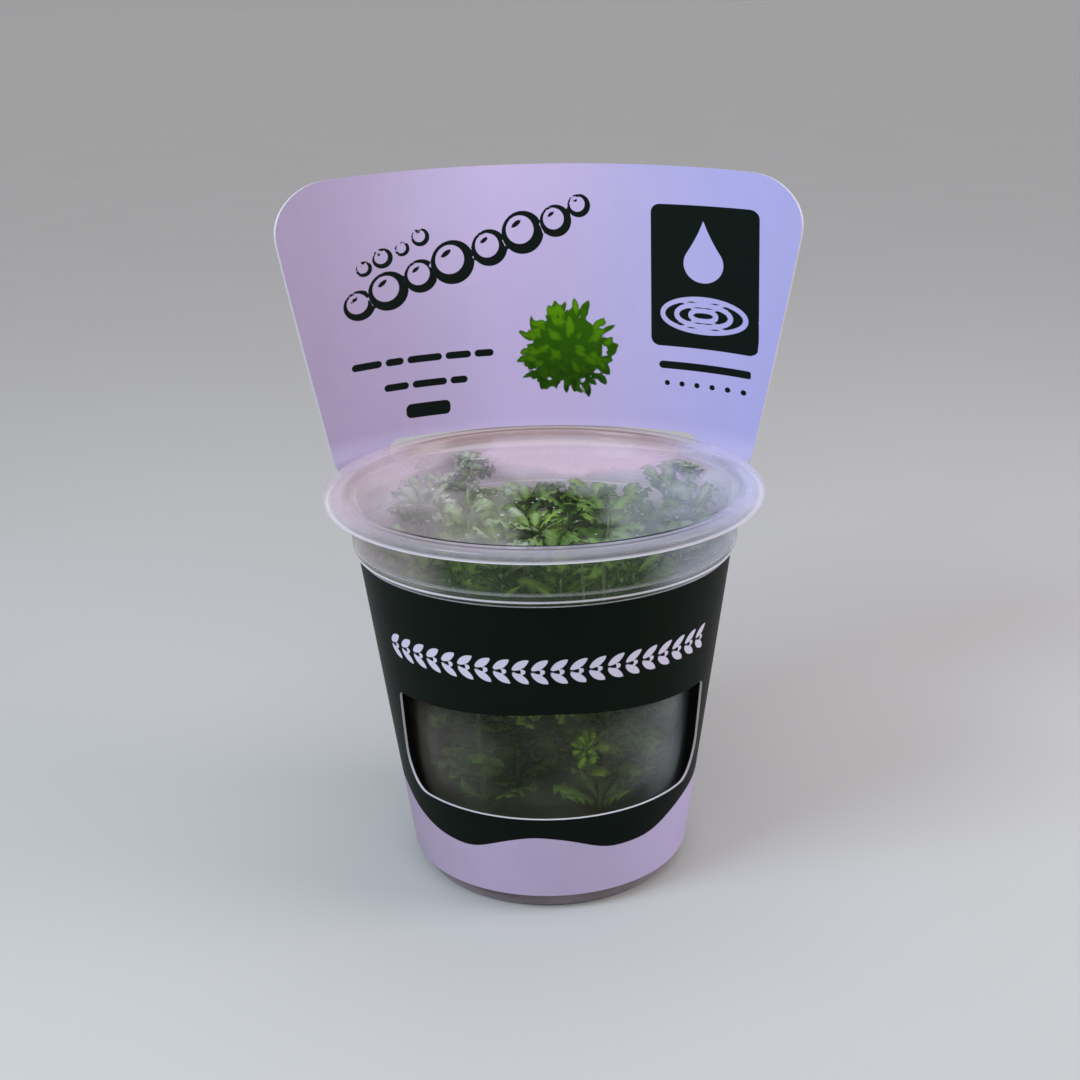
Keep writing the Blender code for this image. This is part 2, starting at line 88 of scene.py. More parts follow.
class Pattern:
    """A number or a colour that a material works out at every point of its surface. Patterns add
    and multiply like numbers."""

    def __init__(self, finish, output):
        """The output of one of the nodes of a finish."""
        self.finish = finish
        self.output = output

    def join(self, kind, other=0.0):
        """This pattern and another, or a plain number, put together by a kind of arithmetic."""
        return self.finish.node("Math", 0, {0: self, 1: other}, operation=kind)

    def __add__(self, other):
        """The sum of the two."""
        return self.join("ADD", other)

    def __mul__(self, other):
        """The product of the two."""
        return self.join("MULTIPLY", other)

    def __abs__(self):
        """The size of the number without its sign."""
        return self.join("ABSOLUTE")

    def larger(self, other):
        """The larger of the two."""
        return self.join("MAXIMUM", other)

    def ramp(self, low, high, at_low=0.0, at_high=1.0):
        """at_low below low, at_high above high, and a straight change between."""
        ends = {"From Min": low, "From Max": high, "To Min": at_low, "To Max": at_high}
        return self.finish.node("MapRange", "Result", {"Value": self, **ends})

    def between(self, start, full, fading, gone):
        """0 up to start, 1 from full to fading and 0 from gone on, with straight changes."""
        return self.ramp(start, full) * self.ramp(fading, gone, 1.0, 0.0)

    def mix(self, one, other):
        """From one number where this pattern is 0 to the other where it is 1."""
        return self.finish.node("Mix", 0, {0: self, 2: one, 3: other})

    def blend(self, one, other):
        """From one colour where this pattern is 0 to the other where it is 1."""
        return self.finish.node("Mix", 2, {0: self, 6: one, 7: other}, data_type="RGBA")


class Finish:
    """A material made of nodes, whose patterns read the object's own coordinates in mm."""

    def __init__(self, name, roughness, **sockets):
        """A material with the shader's plain values, written with _ for each space."""
        self.material = bpy.data.materials.new(name)
        self.material.use_nodes = True
        self.nodes = self.material.node_tree.nodes
        self.links = self.material.node_tree.links
        self.shader = self.nodes["Principled BSDF"]
        for socket, value in {"Roughness": roughness, **sockets}.items():
            self.shader.inputs[socket.replace("_", " ")].default_value = value
        metres = self.node("TexCoord", "Object", {})
        self.place = self.node("VectorMath", 0, {0: metres, "Scale": 1 / MM}, operation="SCALE")

    def node(self, kind, output, inputs, **settings):
        """One output of a new node, whose inputs are patterns or plain values."""
        made = self.nodes.new("ShaderNode" + kind)
        for setting, value in settings.items():
            setattr(made, setting, value)
        for socket, value in inputs.items():
            self.give(made.inputs[socket], value)
        return Pattern(self, made.outputs[output])

    def give(self, socket, value):
        """Feed a socket from a pattern, or set it to a plain value."""
        if isinstance(value, Pattern):
            self.links.new(value.output, socket)
        elif socket.type == "RGBA":
            socket.default_value = (*value, 1.0)
        else:
            socket.default_value = value

    def feed(self, socket, pattern):
        """Feed one of the shader's own sockets."""
        self.give(self.shader.inputs[socket], pattern)

    def colour(self, pattern):
        """Feed the base colour."""
        self.feed("Base Color", pattern)

    def relief(self, pattern, height, strength=1.0):
        """A small bump of the given height in mm."""
        bump = {"Height": pattern, "Distance": height * MM, "Strength": strength}
        self.feed("Normal", self.node("Bump", "Normal", bump))

    def axis(self, letter):
        """One of the object's coordinates, in mm."""
        return self.node("SeparateXYZ", letter, {0: self.place})

    def attribute(self, name):
        """A number that the mesh carries at each point."""
        return self.node("Attribute", "Fac", {}, attribute_name=name)

    def noise(self, size, detail=2.0, stretch=(1.0, 1.0, 1.0)):
        """A cloudy pattern from 0 to 1 whose patches are about size mm across."""
        place = self.node("Mapping", "Vector", {"Vector": self.place, "Scale": stretch})
        return self.node("TexNoise", "Fac", {"Vector": place, "Scale": 1.0 / size, "Detail": detail})

    def cells(self, size):
        """Distance from the middle of the nearest of many scattered cells, size mm apart."""
        return self.node("TexVoronoi", "Distance", {"Vector": self.place, "Scale": 1.0 / size})

    def facing(self, blend):
        """0 where the surface is seen straight on and 1 where it is seen edge on."""
        return self.node("LayerWeight", "Facing", {"Blend": blend})

    def way_from(self, middle=(0.0, 0.0), halves=(1.0, 1.0)):
        """The level way from an upright line, counted in the halves of an oval round it: the
        length of (x - middle x) / half x and (y - middle y) / half y."""
        shift = (-middle[0] / halves[0], -middle[1] / halves[1], 0.0)
        shrink = (1.0 / halves[0], 1.0 / halves[1], 0.0)
        way = self.node("Mapping", "Vector", {"Vector": self.place, "Location": shift, "Scale": shrink})
        return self.node("VectorMath", "Value", {0: way}, operation="LENGTH")

    def oval(self, middle, halves, soft, ragged):
        """1 inside an upright oval column up to the soft share of its size, falling to 0 at its
        edge, which wanders in and out by the ragged share."""
        wander = self.noise(7).ramp(0.3, 0.7, -ragged, ragged)
        return (self.way_from(middle, halves) + wander).ramp(soft, 1.0, 1.0, 0.0)


def layered(colour, *layers):
    """A colour with others laid over it in turn, each as (pattern, colour)."""
    for pattern, over in layers:
        colour = pattern.blend(colour, over)
    return colour


def soft_lamp(name, place, size, power, tint, kind="AREA"):
    """A lamp aimed at the middle of the cup. Size is a square lamp's side, or the width in radians
    of the bright sky that a lamp of kind SUN stands for."""
    lamp = bpy.data.lights.new(name, kind)
    if kind == "AREA":
        lamp.size = size
    else:
        lamp.angle = size
    lamp.energy = power
    lamp.color = tint
    carrier = bpy.data.objects.new(name, lamp)
    carrier.location = place
    aim = np.array(LAMPS_AIM_AT) - np.array(place)
    flat = math.hypot(aim[0], aim[1])
    carrier.rotation_euler = (math.atan2(flat, -aim[2]), 0.0, math.atan2(-aim[0], aim[1]))
    bpy.context.scene.collection.objects.link(carrier)


camera = bpy.data.objects.new("camera", bpy.data.cameras.new("camera"))
camera.data.lens = CAMERA_LENS
camera.data.shift_x = -CAMERA_SHIFT
camera.data.clip_start = 0.01
camera.location = CAMERA_PLACE
looking_down = Quaternion((1.0, 0.0, 0.0), math.pi / 2 - CAMERA_PITCH)
rolled = Quaternion((0.0, 0.0, 1.0), -CAMERA_ROLL)
camera.rotation_mode = "QUATERNION"
camera.rotation_quaternion = looking_down @ rolled
bpy.context.scene.collection.objects.link(camera)
bpy.context.scene.camera = camera
bpy.context.scene.view_settings.view_transform = "Standard"

soft_lamp("sky_front", (0.05, -0.60, 0.75), 0.8, 0.62, (1.0, 0.97, 1.0), "SUN")
soft_lamp("sky_top", (0.10, 0.10, 1.0), 1.0, 0.70, (1.0, 0.97, 0.99), "SUN")
soft_lamp("lamp_left", (-0.38, -0.30, 0.50), 0.25, 2.8, (0.72, 0.88, 1.0))
soft_lamp("lamp_right", (0.55, -0.10, 0.35), 0.30, 1.8, (1.0, 0.93, 0.95))
world = bpy.data.worlds.new("studio")
world.use_nodes = True
world.node_tree.nodes["Background"].inputs["Color"].default_value = AIR_TINT
world.node_tree.nodes["Background"].inputs["Strength"].default_value = AIR_STRENGTH
bpy.context.scene.world = world

table_finish = Finish("pale_table", 0.75)
table_finish.colour(table_finish.noise(120).blend((0.46, 0.46, 0.46), (0.49, 0.49, 0.49)))
across = np.linspace(-20.0, 20.0, 5)
table_points = np.stack([*np.meshgrid(across, across), np.full((5, 5), -0.0002)], axis=-1)
table_faces = faces_of_grid(5, 5, round_columns=False)
put_in_scene("table", table_points, table_faces, table_finish.material)

# Nutrient gel
# A clear, faintly milky gel that was poured warm and set in the bottom of the cup. It carries the
# plantlets, and its surface creeps up a little where it meets the wall.
CUP_BASE = 1.2 * MM
CUP_WALL = 0.8 * MM
BODY_FOOT = (29.9 * MM, 4.0 * MM)
BODY_TOP = (36.4 * MM, 76.0 * MM)
GEL_HEIGHT = 15.0 * MM
GAP = 0.3 * MM
ROUND_STEPS = 144


def inner_radius(height):
    """Inside radius of the cup's body, straight from its foot to the ledge under the neck."""
    return np.interp(height, (BODY_FOOT[1], BODY_TOP[1]), (BODY_FOOT[0], BODY_TOP[0])) - CUP_WALL


def softened(corners, steps=4, longest=5 * MM, beside=0.35 * MM):
    """A drawn outline with its corners rounded. Each corner is (radius, height, fillet). A fillet
    is an arc that touches both sides, and long straight runs get points along them."""
    spots = np.array([corner[:2] for corner in corners])
    path = [spots[0]]
    for before, here, after, fillet in zip(spots, spots[1:], spots[2:], [c[2] for c in corners[1:-1]]):
        back, on = before - here, after - here
        back, on = back / np.hypot(*back), on / np.hypot(*on)
        half = math.acos(np.clip(back @ on, -1, 1)) / 2
        if fillet == 0 or half > 1.56:
            path.append(here)
            continue
        reach = fillet / math.tan(half)
        middle = here + (back + on) / np.hypot(*(back + on)) * fillet / math.sin(half)
        share = np.linspace(0, 1, steps + 1)[:, None]
        chord = (here + back * reach) * (1 - share) + (here + on * reach) * share - middle
        path.extend(middle + chord / np.hypot(chord[:, 0], chord[:, 1])[:, None] * fillet)
    path.append(spots[-1])
    filled = [path[0]]
    for start, end in zip(path, path[1:]):
        run = np.hypot(*(end - start))
        if run > 3 * beside:
            inner = np.linspace(beside, run - beside, max(2, math.ceil(run / longest) + 1)) / run
            filled.extend(start + (end - start) * inner[:, None])
        filled.append(end)
    return np.array(filled)


def turned(outline):
    """A drawn outline turned round the middle: (r cos a, r sin a, z) for each of its points."""
    angle = np.arange(ROUND_STEPS) * (2 * math.pi / ROUND_STEPS)
    radius, height = outline[:, 0, None], outline[:, 1, None]
    points = np.stack([radius * np.cos(angle), radius * np.sin(angle), height + 0 * angle], axis=-1)
    return points, faces_of_grid(len(outline), ROUND_STEPS)


def lathe(name, corners, material):
    """A closed round solid, from the corners of its drawn outline."""
    return put_in_scene(name, *turned(softened(corners)), material, merge=1e-6)


gel_finish = Finish("set_gel", 0.12, IOR=1.34, Alpha=0.9)
gel_cloud = gel_finish.noise(9, detail=3.0)
gel_finish.colour(gel_cloud.blend((0.075, 0.080, 0.045), (0.14, 0.14, 0.09)))
gel_finish.relief(gel_finish.noise(5), 0.3)
gel = lathe("gel", [
    (0.0, CUP_BASE + GAP, 0),
    (BODY_FOOT[0] - 3.2 * MM, CUP_BASE + GAP, 1.5 * MM),
    (inner_radius(4.5 * MM) - GAP, 4.5 * MM, 1.5 * MM),
    (inner_radius(GEL_HEIGHT) - GAP, GEL_HEIGHT, 0.2 * MM),
    (inner_radius(GEL_HEIGHT) - 2.5 * MM, GEL_HEIGHT - 0.5 * MM, 2.0 * MM),
    (0.0, GEL_HEIGHT - 0.5 * MM, 0),
], gel_finish.material)
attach(gel, "root")
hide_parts("nutrient_gel")

# Stems
# Eight plantlets stand in the gel. Each stem is a slender, slightly bowed green stalk that thins
# towards its tip and swells a little at each joint where leaves grow.
STEM_RADIUS = 0.75 * MM
STEM_RINGS = 49
STEM_SIDES = 12
TIP_THINNER = 0.35
BETWEEN_JOINTS = 0.82
JOINT_SWELL = 0.18
JOINT_WIDTH = 0.012
# Where a stem leaves the gel, its tip, how it bows (mm), and its whorls of leaves as
# (share of the stem, leaf length in mm, lift of the leaves, turn in degrees).
PLANTS = [
    ((3, -1), (6, 8, 82.5), (-2, 2),
     ((0.30, 13.0, 0.5, 20), (0.55, 13.0, 0.55, 10), (0.78, 12.0, 0.6, 0), (0.955, 8.0, 0.75, 0))),
    ((-13, 11), (-18, 22, 82), (-1, -3), ((0.48, 10.38, 0.5, 0), (0.94, 10.0, 0.6, 0))),
    ((-8, -3), (-9, 6, 79), (2, 3), ((0.42, 11.0, 0.5, 10), (0.70, 11.0, 0.6, 10), (0.95, 9.0, 0.8, 0))),
    ((18, 9), (31, 19, 84), (-3, -2), ((0.50, 6.71, 0.5, 0), (0.95, 5.04, 0.4, 0))),
    ((-15, -14), (-17, -18, 76), (0, 2), ((0.25, 9.51, 0.4, 0), (0.58, 10.38, 0.5, 0), (0.93, 9.51, 0.6, 0))),
    ((11, -15), (9, -19, 75), (3, 2), ((0.30, 11.16, 0.4, 0), (0.62, 12.0, 0.5, 0), (0.94, 12.0, 0.6, 0))),
    ((2, 18), (8, 24, 72), (2, 0), ((0.45, 8.85, 0.5, 0), (0.92, 8.65, 0.6, 40))),
    ((22, -5), (24, -7, 70), (-1, -2), ((0.45, 7.78, 0.5, 0), (0.92, 8.65, 0.6, 0))),
]


def along_stem(plant, share):
    """Middle of a stem at shares of its length: a straight line from base to tip, pushed aside
    by its bow times the sine of pi times the share."""
    base = np.array((*plant[0], (GEL_HEIGHT + GAP) / MM)) * MM
    tip = np.array(plant[1]) * MM
    bow = np.array((*plant[2], 0.0)) * MM
    share = np.atleast_1d(share)[:, None]
    return base + (tip - base) * share + bow * np.sin(math.pi * share)


def stem_axes(plant, share):
    """A stem's direction at one share of its length, and two directions across it."""
    ahead, behind = along_stem(plant, (share + 0.01, share - 0.01))
    along = (ahead - behind) / np.linalg.norm(ahead - behind)
    across_one = np.cross(along, np.eye(3)[np.argmin(np.abs(along))])
    across_one /= np.linalg.norm(across_one)
    return along, across_one, np.cross(along, across_one)


def tube(middles, radii, one, other, sides):
    """Rings of points round a line of middles: middle + radius (cos a one + sin a other)."""
    angle = np.arange(sides) * (2 * math.pi / sides)
    ring = np.cos(angle)[:, None] * one + np.sin(angle)[:, None] * other
    return middles[:, None, :] + radii[:, None, None] * ring


stem_finish = Finish("stem_skin", 0.42)
stem_grain = stem_finish.noise(1.2, stretch=(1.0, 1.0, 0.15))
stem_green = stem_grain.blend((0.10, 0.17, 0.04), (0.24, 0.33, 0.11))
above_gel = stem_finish.axis("Z").ramp(20, 60)
stem_finish.colour(above_gel.blend((0.10, 0.12, 0.06), stem_green))
stem_finish.relief(stem_grain, 0.1)
for number, plant in enumerate(PLANTS, 1):
    share = np.linspace(0.0, 1.0, STEM_RINGS)
    joints = np.array([whorl[0] for whorl in plant[3]])
    swell = np.exp(-(((share[:, None] - joints) / JOINT_WIDTH) ** 2)).sum(axis=1)
    radius = STEM_RADIUS * (1 - TIP_THINNER * share) * (BETWEEN_JOINTS + JOINT_SWELL * swell)
    radius[[0, -1]] = 1e-6
    share[0] = share[1] * 0.02
    _, one, other = stem_axes(plant, 0.5)
    points = tube(along_stem(plant, share), radius, one, other, STEM_SIDES)
    faces = faces_of_grid(STEM_RINGS, STEM_SIDES)
    stem = put_in_scene(f"stem_{number}_stalk", points, faces, stem_finish.material, merge=3e-6)
    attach(stem, "root")
    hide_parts(f"stem_{number}")

# Leaves
# Whorls of thin, deeply lobed leaves with rounded tips, which grow from a small collar at each
# joint. Young leaves stand between them. Where they meet the wall or the lid they bend along it.
LEAVES_IN_WHORL = 6
COLLAR_RADIUS = 1.5 * MM
IN_COLLAR = 0.6
LEAF_EDGE = 0.20 * MM
LEAF_RIB = 0.50 * MM
# A leaf's bare stalk, half width and least half width, as shares of its length, then how far it
# narrows between its lobes and how far its edges lean forward, as shares of its half width
BARE_STALK = 0.14
LEAF_HALF = 0.30
LEAST_HALF = 0.035
NOTCH = 0.26
EDGE_LEAN = 0.5
CURLS = (0.1, 0.7)
# How far a whorl leans, and a leaf turns aside and bends down or up, as shares of the looseness
WHORL_LEAN = 0.5
TURN_ASIDE = 0.4
BEND_STRAY = (-0.6, 0.8)
# The age of the lowest leaves of a stem, how much its highest are younger, and how far both stray
LOWEST_AGE = 0.25
HIGHEST_YOUNGER = 0.45
AGE_STRAY = 0.2
SOFT_LIMIT = 1.5 * MM
PANEL_UNDERSIDE = 86.8 * MM
# The room inside the cup, as heights and radii in mm
ROOM = ((0.0, 4.0, 76.0, 77.4, 83.6, 90.0), (29.0, 29.0, 35.5, 41.7, 42.4, 43.6))
# Points round a leaf's cross-section: share across, share of the thickness, lean forward
FINE_SECTION = np.array([(-1, 0, 1), (-0.55, 1, 0.35), (0, 1.4, 0), (0.55, 1, 0.35), (1, 0, 1),
                         (0.55, -1, 0.35), (0, -1.2, 0), (-0.55, -1, 0.35)])
PLAIN_SECTION = np.array([(-1, 0, 1), (0, 1.3, 0), (1, 0, 1), (0, -1.1, 0)])
# Looseness, section, rows of points and pairs of lobes of the full whorls
FULL_WHORL = (0.07, FINE_SECTION, 26, 4)


def held_below(value, limit):
    """A value that never passes its limit: over the last soft stretch before it, the rest of the
    way is shortened more and more, as 1 - exp(-way)."""
    start = limit - SOFT_LIMIT
    beyond = np.maximum(value - start, 0) / SOFT_LIMIT
    return np.minimum(value, start) + SOFT_LIMIT * (1 - np.exp(-beyond))


def kept_in_cup(points):
    """Points bent back so that none passes the cup's wall or the lid."""
    height = held_below(points[..., 2], PANEL_UNDERSIDE - GAP)
    radius = np.hypot(points[..., 0], points[..., 1])
    limit = np.interp(height / MM, *ROOM) * MM - 2 * GAP
    scale = held_below(radius, limit) / np.maximum(radius, 1e-9)
    return np.stack([points[..., 0] * scale, points[..., 1] * scale, height], axis=-1)


def leaf(centre, axes, length, lift, turn, lobes, curl, section, steps):
    """A closed thin blade. Its rib runs out and up: reach = length s (1 - 0.15 lift) and climb =
    length lift s (1 - 0.28 s), less curl length s s s / 4 where the tip droops. Its half width is
    an oval times a row of bumps, one for each pair of lobes. Its edges lean forward, and curl up
    by curl times the half width, most of all on the lobes. The section's points go round it."""
    along, one, other = axes
    out = math.cos(turn) * one + math.sin(turn) * other
    side = np.cross(along, out)
    s = np.linspace(0.0, 1.0, steps)
    blade = np.clip((s - BARE_STALK) / (1 - BARE_STALK), 0, 1)
    oval = LEAF_HALF * np.sin(math.pi * blade**0.8) ** 0.55
    bumps = NOTCH + (1 - NOTCH) * np.abs(np.sin(math.pi * lobes * blade)) ** 0.7
    half = length * np.maximum(oval * bumps, LEAST_HALF)
    thick = (LEAF_EDGE + (LEAF_RIB - LEAF_EDGE) * (1 - s)) / 2
    half[[0, -1]] = thick[[0, -1]] = 0.0
    wide = half[:, None] * section[:, 0]
    ahead = EDGE_LEAN * half[:, None] * section[:, 2]
    reach = COLLAR_RADIUS * IN_COLLAR + length * s[:, None] * (1 - 0.15 * lift) + ahead
    climb = length * lift * s[:, None] * (1 - 0.28 * s[:, None])
    lobed = np.cos(2 * math.pi * lobes * blade)[:, None]
    wave = curl * half[:, None] * section[:, 0] ** 2 * (0.4 + 0.6 * lobed)
    droop = -0.25 * curl * length * s[:, None] ** 3
    up = climb + thick[:, None] * section[:, 1] + wave + droop
    return centre + reach[..., None] * out + wide[..., None] * side + up[..., None] * along


def whorl(centre, axes, length, lift, turn, random, loose, section, steps, lobes):
    """A ring of leaves round a joint, at equal turns, each a little different. Loose is how far
    they stray from a level ring of equal leaves, and is also the share by which one may be short."""
    along, one, other = axes
    lean = random.normal(0.0, WHORL_LEAN * loose, 2)
    along = along + lean[0] * one + lean[1] * other
    along = along / np.linalg.norm(along)
    one = np.cross(other, along)
    one /= np.linalg.norm(one)
    axes = (along, one, np.cross(along, one))
    blades = []
    for k in range(LEAVES_IN_WHORL):
        aside = random.normal(0, TURN_ASIDE * loose)
        where = turn + 2 * math.pi * (k + 0.5) / LEAVES_IN_WHORL + aside
        size = length * (1 - loose * random.uniform(0.0, 1.0))
        bend = lift + loose * random.uniform(*BEND_STRAY)
        curl = random.uniform(*CURLS)
        blades.append(leaf(centre, axes, size, bend, where, lobes, curl, section, steps))
    return blades


def join_grids(name, grids, material, age=0.5):
    """Many equal closed grids as one mesh. Each grid's points are numbered after those of the
    grids before it, and its first and last rows close to single points. Every grid carries its
    own age, from 0 for old and dark to 1 for young and bright."""
    points = np.stack(grids)
    count, rows, columns = points.shape[:3]
    one = faces_of_grid(rows, columns)
    faces = (one[None] + np.arange(count)[:, None, None] * rows * columns).reshape(-1, 4)
    ages = np.broadcast_to(np.reshape(age, (-1, 1, 1)), (count, rows, columns))
    return put_in_scene(name, points, faces, material, merge=1e-6, age=ages)


leaf_finish = Finish("leaf_skin", 0.45, Specular_IOR_Level=0.3)
leaf_patch = leaf_finish.noise(7, detail=3.0)
leaf_cell = leaf_finish.noise(0.8)
old_to_young = leaf_finish.attribute("age").blend((0.014, 0.042, 0.005), (0.20, 0.38, 0.012))
# Leaves that press against the lid at its left and right are pale with damp, in patches
touches_lid = leaf_finish.axis("Z").ramp(81, 85, 0.0, 0.75)
across = leaf_finish.axis("X")
at_ends = across.ramp(-6, 2, 1.0, 0.0).larger(across.ramp(25, 29, 0.0, 0.6))
damp = touches_lid * at_ends * leaf_finish.noise(3).ramp(0.38, 0.52)
leaf_finish.colour(layered(
    old_to_young,
    (leaf_patch.ramp(0.3, 0.7, 0.0, 0.5), (0.055, 0.135, 0.009)),
    (leaf_cell.ramp(0.35, 0.75, 0.0, 0.3), (0.18, 0.28, 0.05)),
    (damp, (0.50, 0.56, 0.44)),
))
leaf_finish.relief(leaf_cell, 0.15)
random = np.random.default_rng(7)
for number, plant in enumerate(PLANTS, 1):
    for storey, (share, length, lift, turn) in enumerate(plant[3], 1):
        place, axes = along_stem(plant, share)[0], stem_axes(plant, share)
        blades = whorl(place, axes, length * MM, lift, math.radians(turn), random, *FULL_WHORL)
        age = LOWEST_AGE + HIGHEST_YOUNGER * share + random.uniform(-AGE_STRAY, AGE_STRAY, len(blades))
        piece = join_grids(f"whorl_{number}_{storey}", [kept_in_cup(blade) for blade in blades],
                           leaf_finish.material, age)
        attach(piece, "root")
        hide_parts(f"leaves_{number}_{storey}")

# Side shoots: plantlet, share of its stem where the shoot leaves, and the shoot's tip (mm)
SHOOTS = [
    (1, 0.55, (-2, -9, 83)), (1, 0.50, (14, -6, 84)), (1, 0.62, (11, 13, 82)), (1, 0.45, (2, -22, 80)),
    (2, 0.50, (-28, 12, 81)), (2, 0.60, (-22, 27, 81)), (2, 0.40, (-27, 26, 80)),
    (3, 0.55, (-17, -2, 82)), (3, 0.60, (-3, 14, 81)), (3, 0.50, (-10, -16, 81)),
    (4, 0.55, (23, 14, 74)), (4, 0.50, (34, 8, 80)),
    (5, 0.60, (-25, -27, 79)), (5, 0.55, (-9, -33, 81)), (5, 0.50, (-31, -14, 80)),
    (6, 0.60, (3, -35, 81)), (6, 0.55, (18, -31, 80)), (6, 0.50, (12, -27, 82)),
    (7, 0.60, (14, 25, 70)), (7, 0.55, (-3, 26, 70)),
    (8, 0.60, (29, -18, 80)), (8, 0.55, (34, -2, 78)), (8, 0.50, (19, 5, 81)),
    (3, 0.45, (-4.5, -29.5, 46.5)), (6, 0.35, (7.5, -29.0, 38.5)), (3, 0.50, (3.5, -30.0, 48.5)),
    (2, 0.93, (-18, 33, 85.5)), (4, 0.93, (34.5, 24, 85.5)),
    (6, 0.70, (7.3, -40.2, 85.6)), (6, 0.74, (11.6, -39.2, 85.8)),
]
# The last four shoots: two that stand up against the lid, and two without leaves
TALL_SHOOTS = SHOOTS[-4:-2]
LEAFY_SHOOTS = SHOOTS[:-4]
SHOOT_RADIUS = 0.5 * MM
SHOOT_THINNER = 0.4
SHOOT_RINGS = 17
SHOOT_SIDES = 6
# Whorls on a leafy shoot and on a tall one, as (share of its length, leaf length in mm)
SHOOT_WHORLS = ((0.40, 12.0), (0.60, 12.5), (0.78, 11.5), (0.92, 10.0), (0.985, 7.5))
TALL_WHORLS = ((0.65, 7.5), (0.97, 6.0))
# A whorl on a shoot stands a little off its share, and its leaves rise more towards the tip
OFF_SHARE = (-0.03, 0.01)
SHOOT_LIFT, TIP_LIFT = 0.4, 0.5
SHOOT_LOOSE = 0.3
TALL_LIFT, TALL_LOOSE, TALL_AGES = 1.2, 0.4, (0.5, 1.0)
# Young whorls along a stem: their first share and pitch, the share that they keep from the full
# whorls, and their leaves' lengths (mm), how much longer these are at the foot, lifts, looseness
YOUNG_FIRST, YOUNG_PITCH, YOUNG_CLEAR = 0.04, 0.08, 0.03
YOUNG_SIZES, LONGER_BELOW = (8.0, 14.0), 4.0
YOUNG_LIFTS, YOUNG_LOOSE = (0.2, 1.3), 0.38
YOUNG_ROWS, YOUNG_LOBES = 16, 3
# Ages of the young leaves: on dark plantlets, on bright ones, and on the fresh shoots
DARK, BRIGHT, FRESH = 0.3, 0.55, 1.0
AGE_SPREAD = 0.22
# A shoot whose tip is lower than this, in mm, is a small fresh one behind the window, given as
# (share of the usual leaf length, how far its leaves stray, their age)
LOW_TIP = 60
LOW_SHOOT = (0.32, 0.6, FRESH)
BRIGHT_PLANTS = (1, 6)
NARROW_SECTION = PLAIN_SECTION * (0.35, 1.0, 0.35)
BROAD_SECTION = PLAIN_SECTION * (1.2, 1.0, 1.0)
BROADEST_SECTION = PLAIN_SECTION * (1.5, 1.0, 1.0)
# A pair of small leaves that lies flat against the neck in front, seen from outside, with each
# leaf as (turn in degrees, length in mm)
PAIR_PLANT = 6
PAIR_PLACE = np.array((-3.8, -40.9, 81.0)) * MM
PAIR = ((216, 5.8), (-35, 5.6))
PAIR_AXES = (np.array((0.0, -1.0, 0.0)), np.array((1.0, 0.0, 0.0)), np.array((0.0, 0.0, 1.0)))


def along_shoot(shoot, share):
    """Middle of a side shoot: it leaves its stem sideways and turns upwards, as a quarter turn
    whose sideways way is sin(pi s / 2) and whose climb is 1 - cos(pi s / 2)."""
    number, leaves_at, tip = shoot
    start = along_stem(PLANTS[number - 1], leaves_at)[0]
    way = np.array(tip) * MM - start
    angle = np.atleast_1d(share)[:, None] * math.pi / 2
    return start + way * np.concatenate([np.sin(angle), np.sin(angle), 1 - np.cos(angle)], axis=1)


def shoot_axes(shoot, share):
    """A side shoot's direction, and two directions across it."""
    behind, ahead = along_shoot(shoot, (share - 0.02, share + 0.02))
    along = (ahead - behind) / np.linalg.norm(ahead - behind)
    one = np.cross(along, (0.0, 1.0, 0.0))
    one /= np.linalg.norm(one)
    return along, one, np.cross(along, one)


stalks = []
for shoot in SHOOTS:
    share = np.linspace(0.0, 1.0, SHOOT_RINGS)
    radius = SHOOT_RADIUS * (1 - SHOOT_THINNER * share)
    radius[[0, -1]] = 0.0
    _, one, other = shoot_axes(shoot, 0.5)
    stalks.append(tube(along_shoot(shoot, share), radius, one, other, SHOOT_SIDES))
shoots = join_grids("side_shoots", stalks, stem_finish.material)
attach(shoots, "root")


def young_whorl(place, axes, size, lift, random, loose, section):
    """A whorl of coarser leaves, size mm long, at a turn of its own."""
    turn = random.uniform(0, 6)
    return whorl(place, axes, size * MM, lift, turn, random, loose, section, YOUNG_ROWS, YOUNG_LOBES)


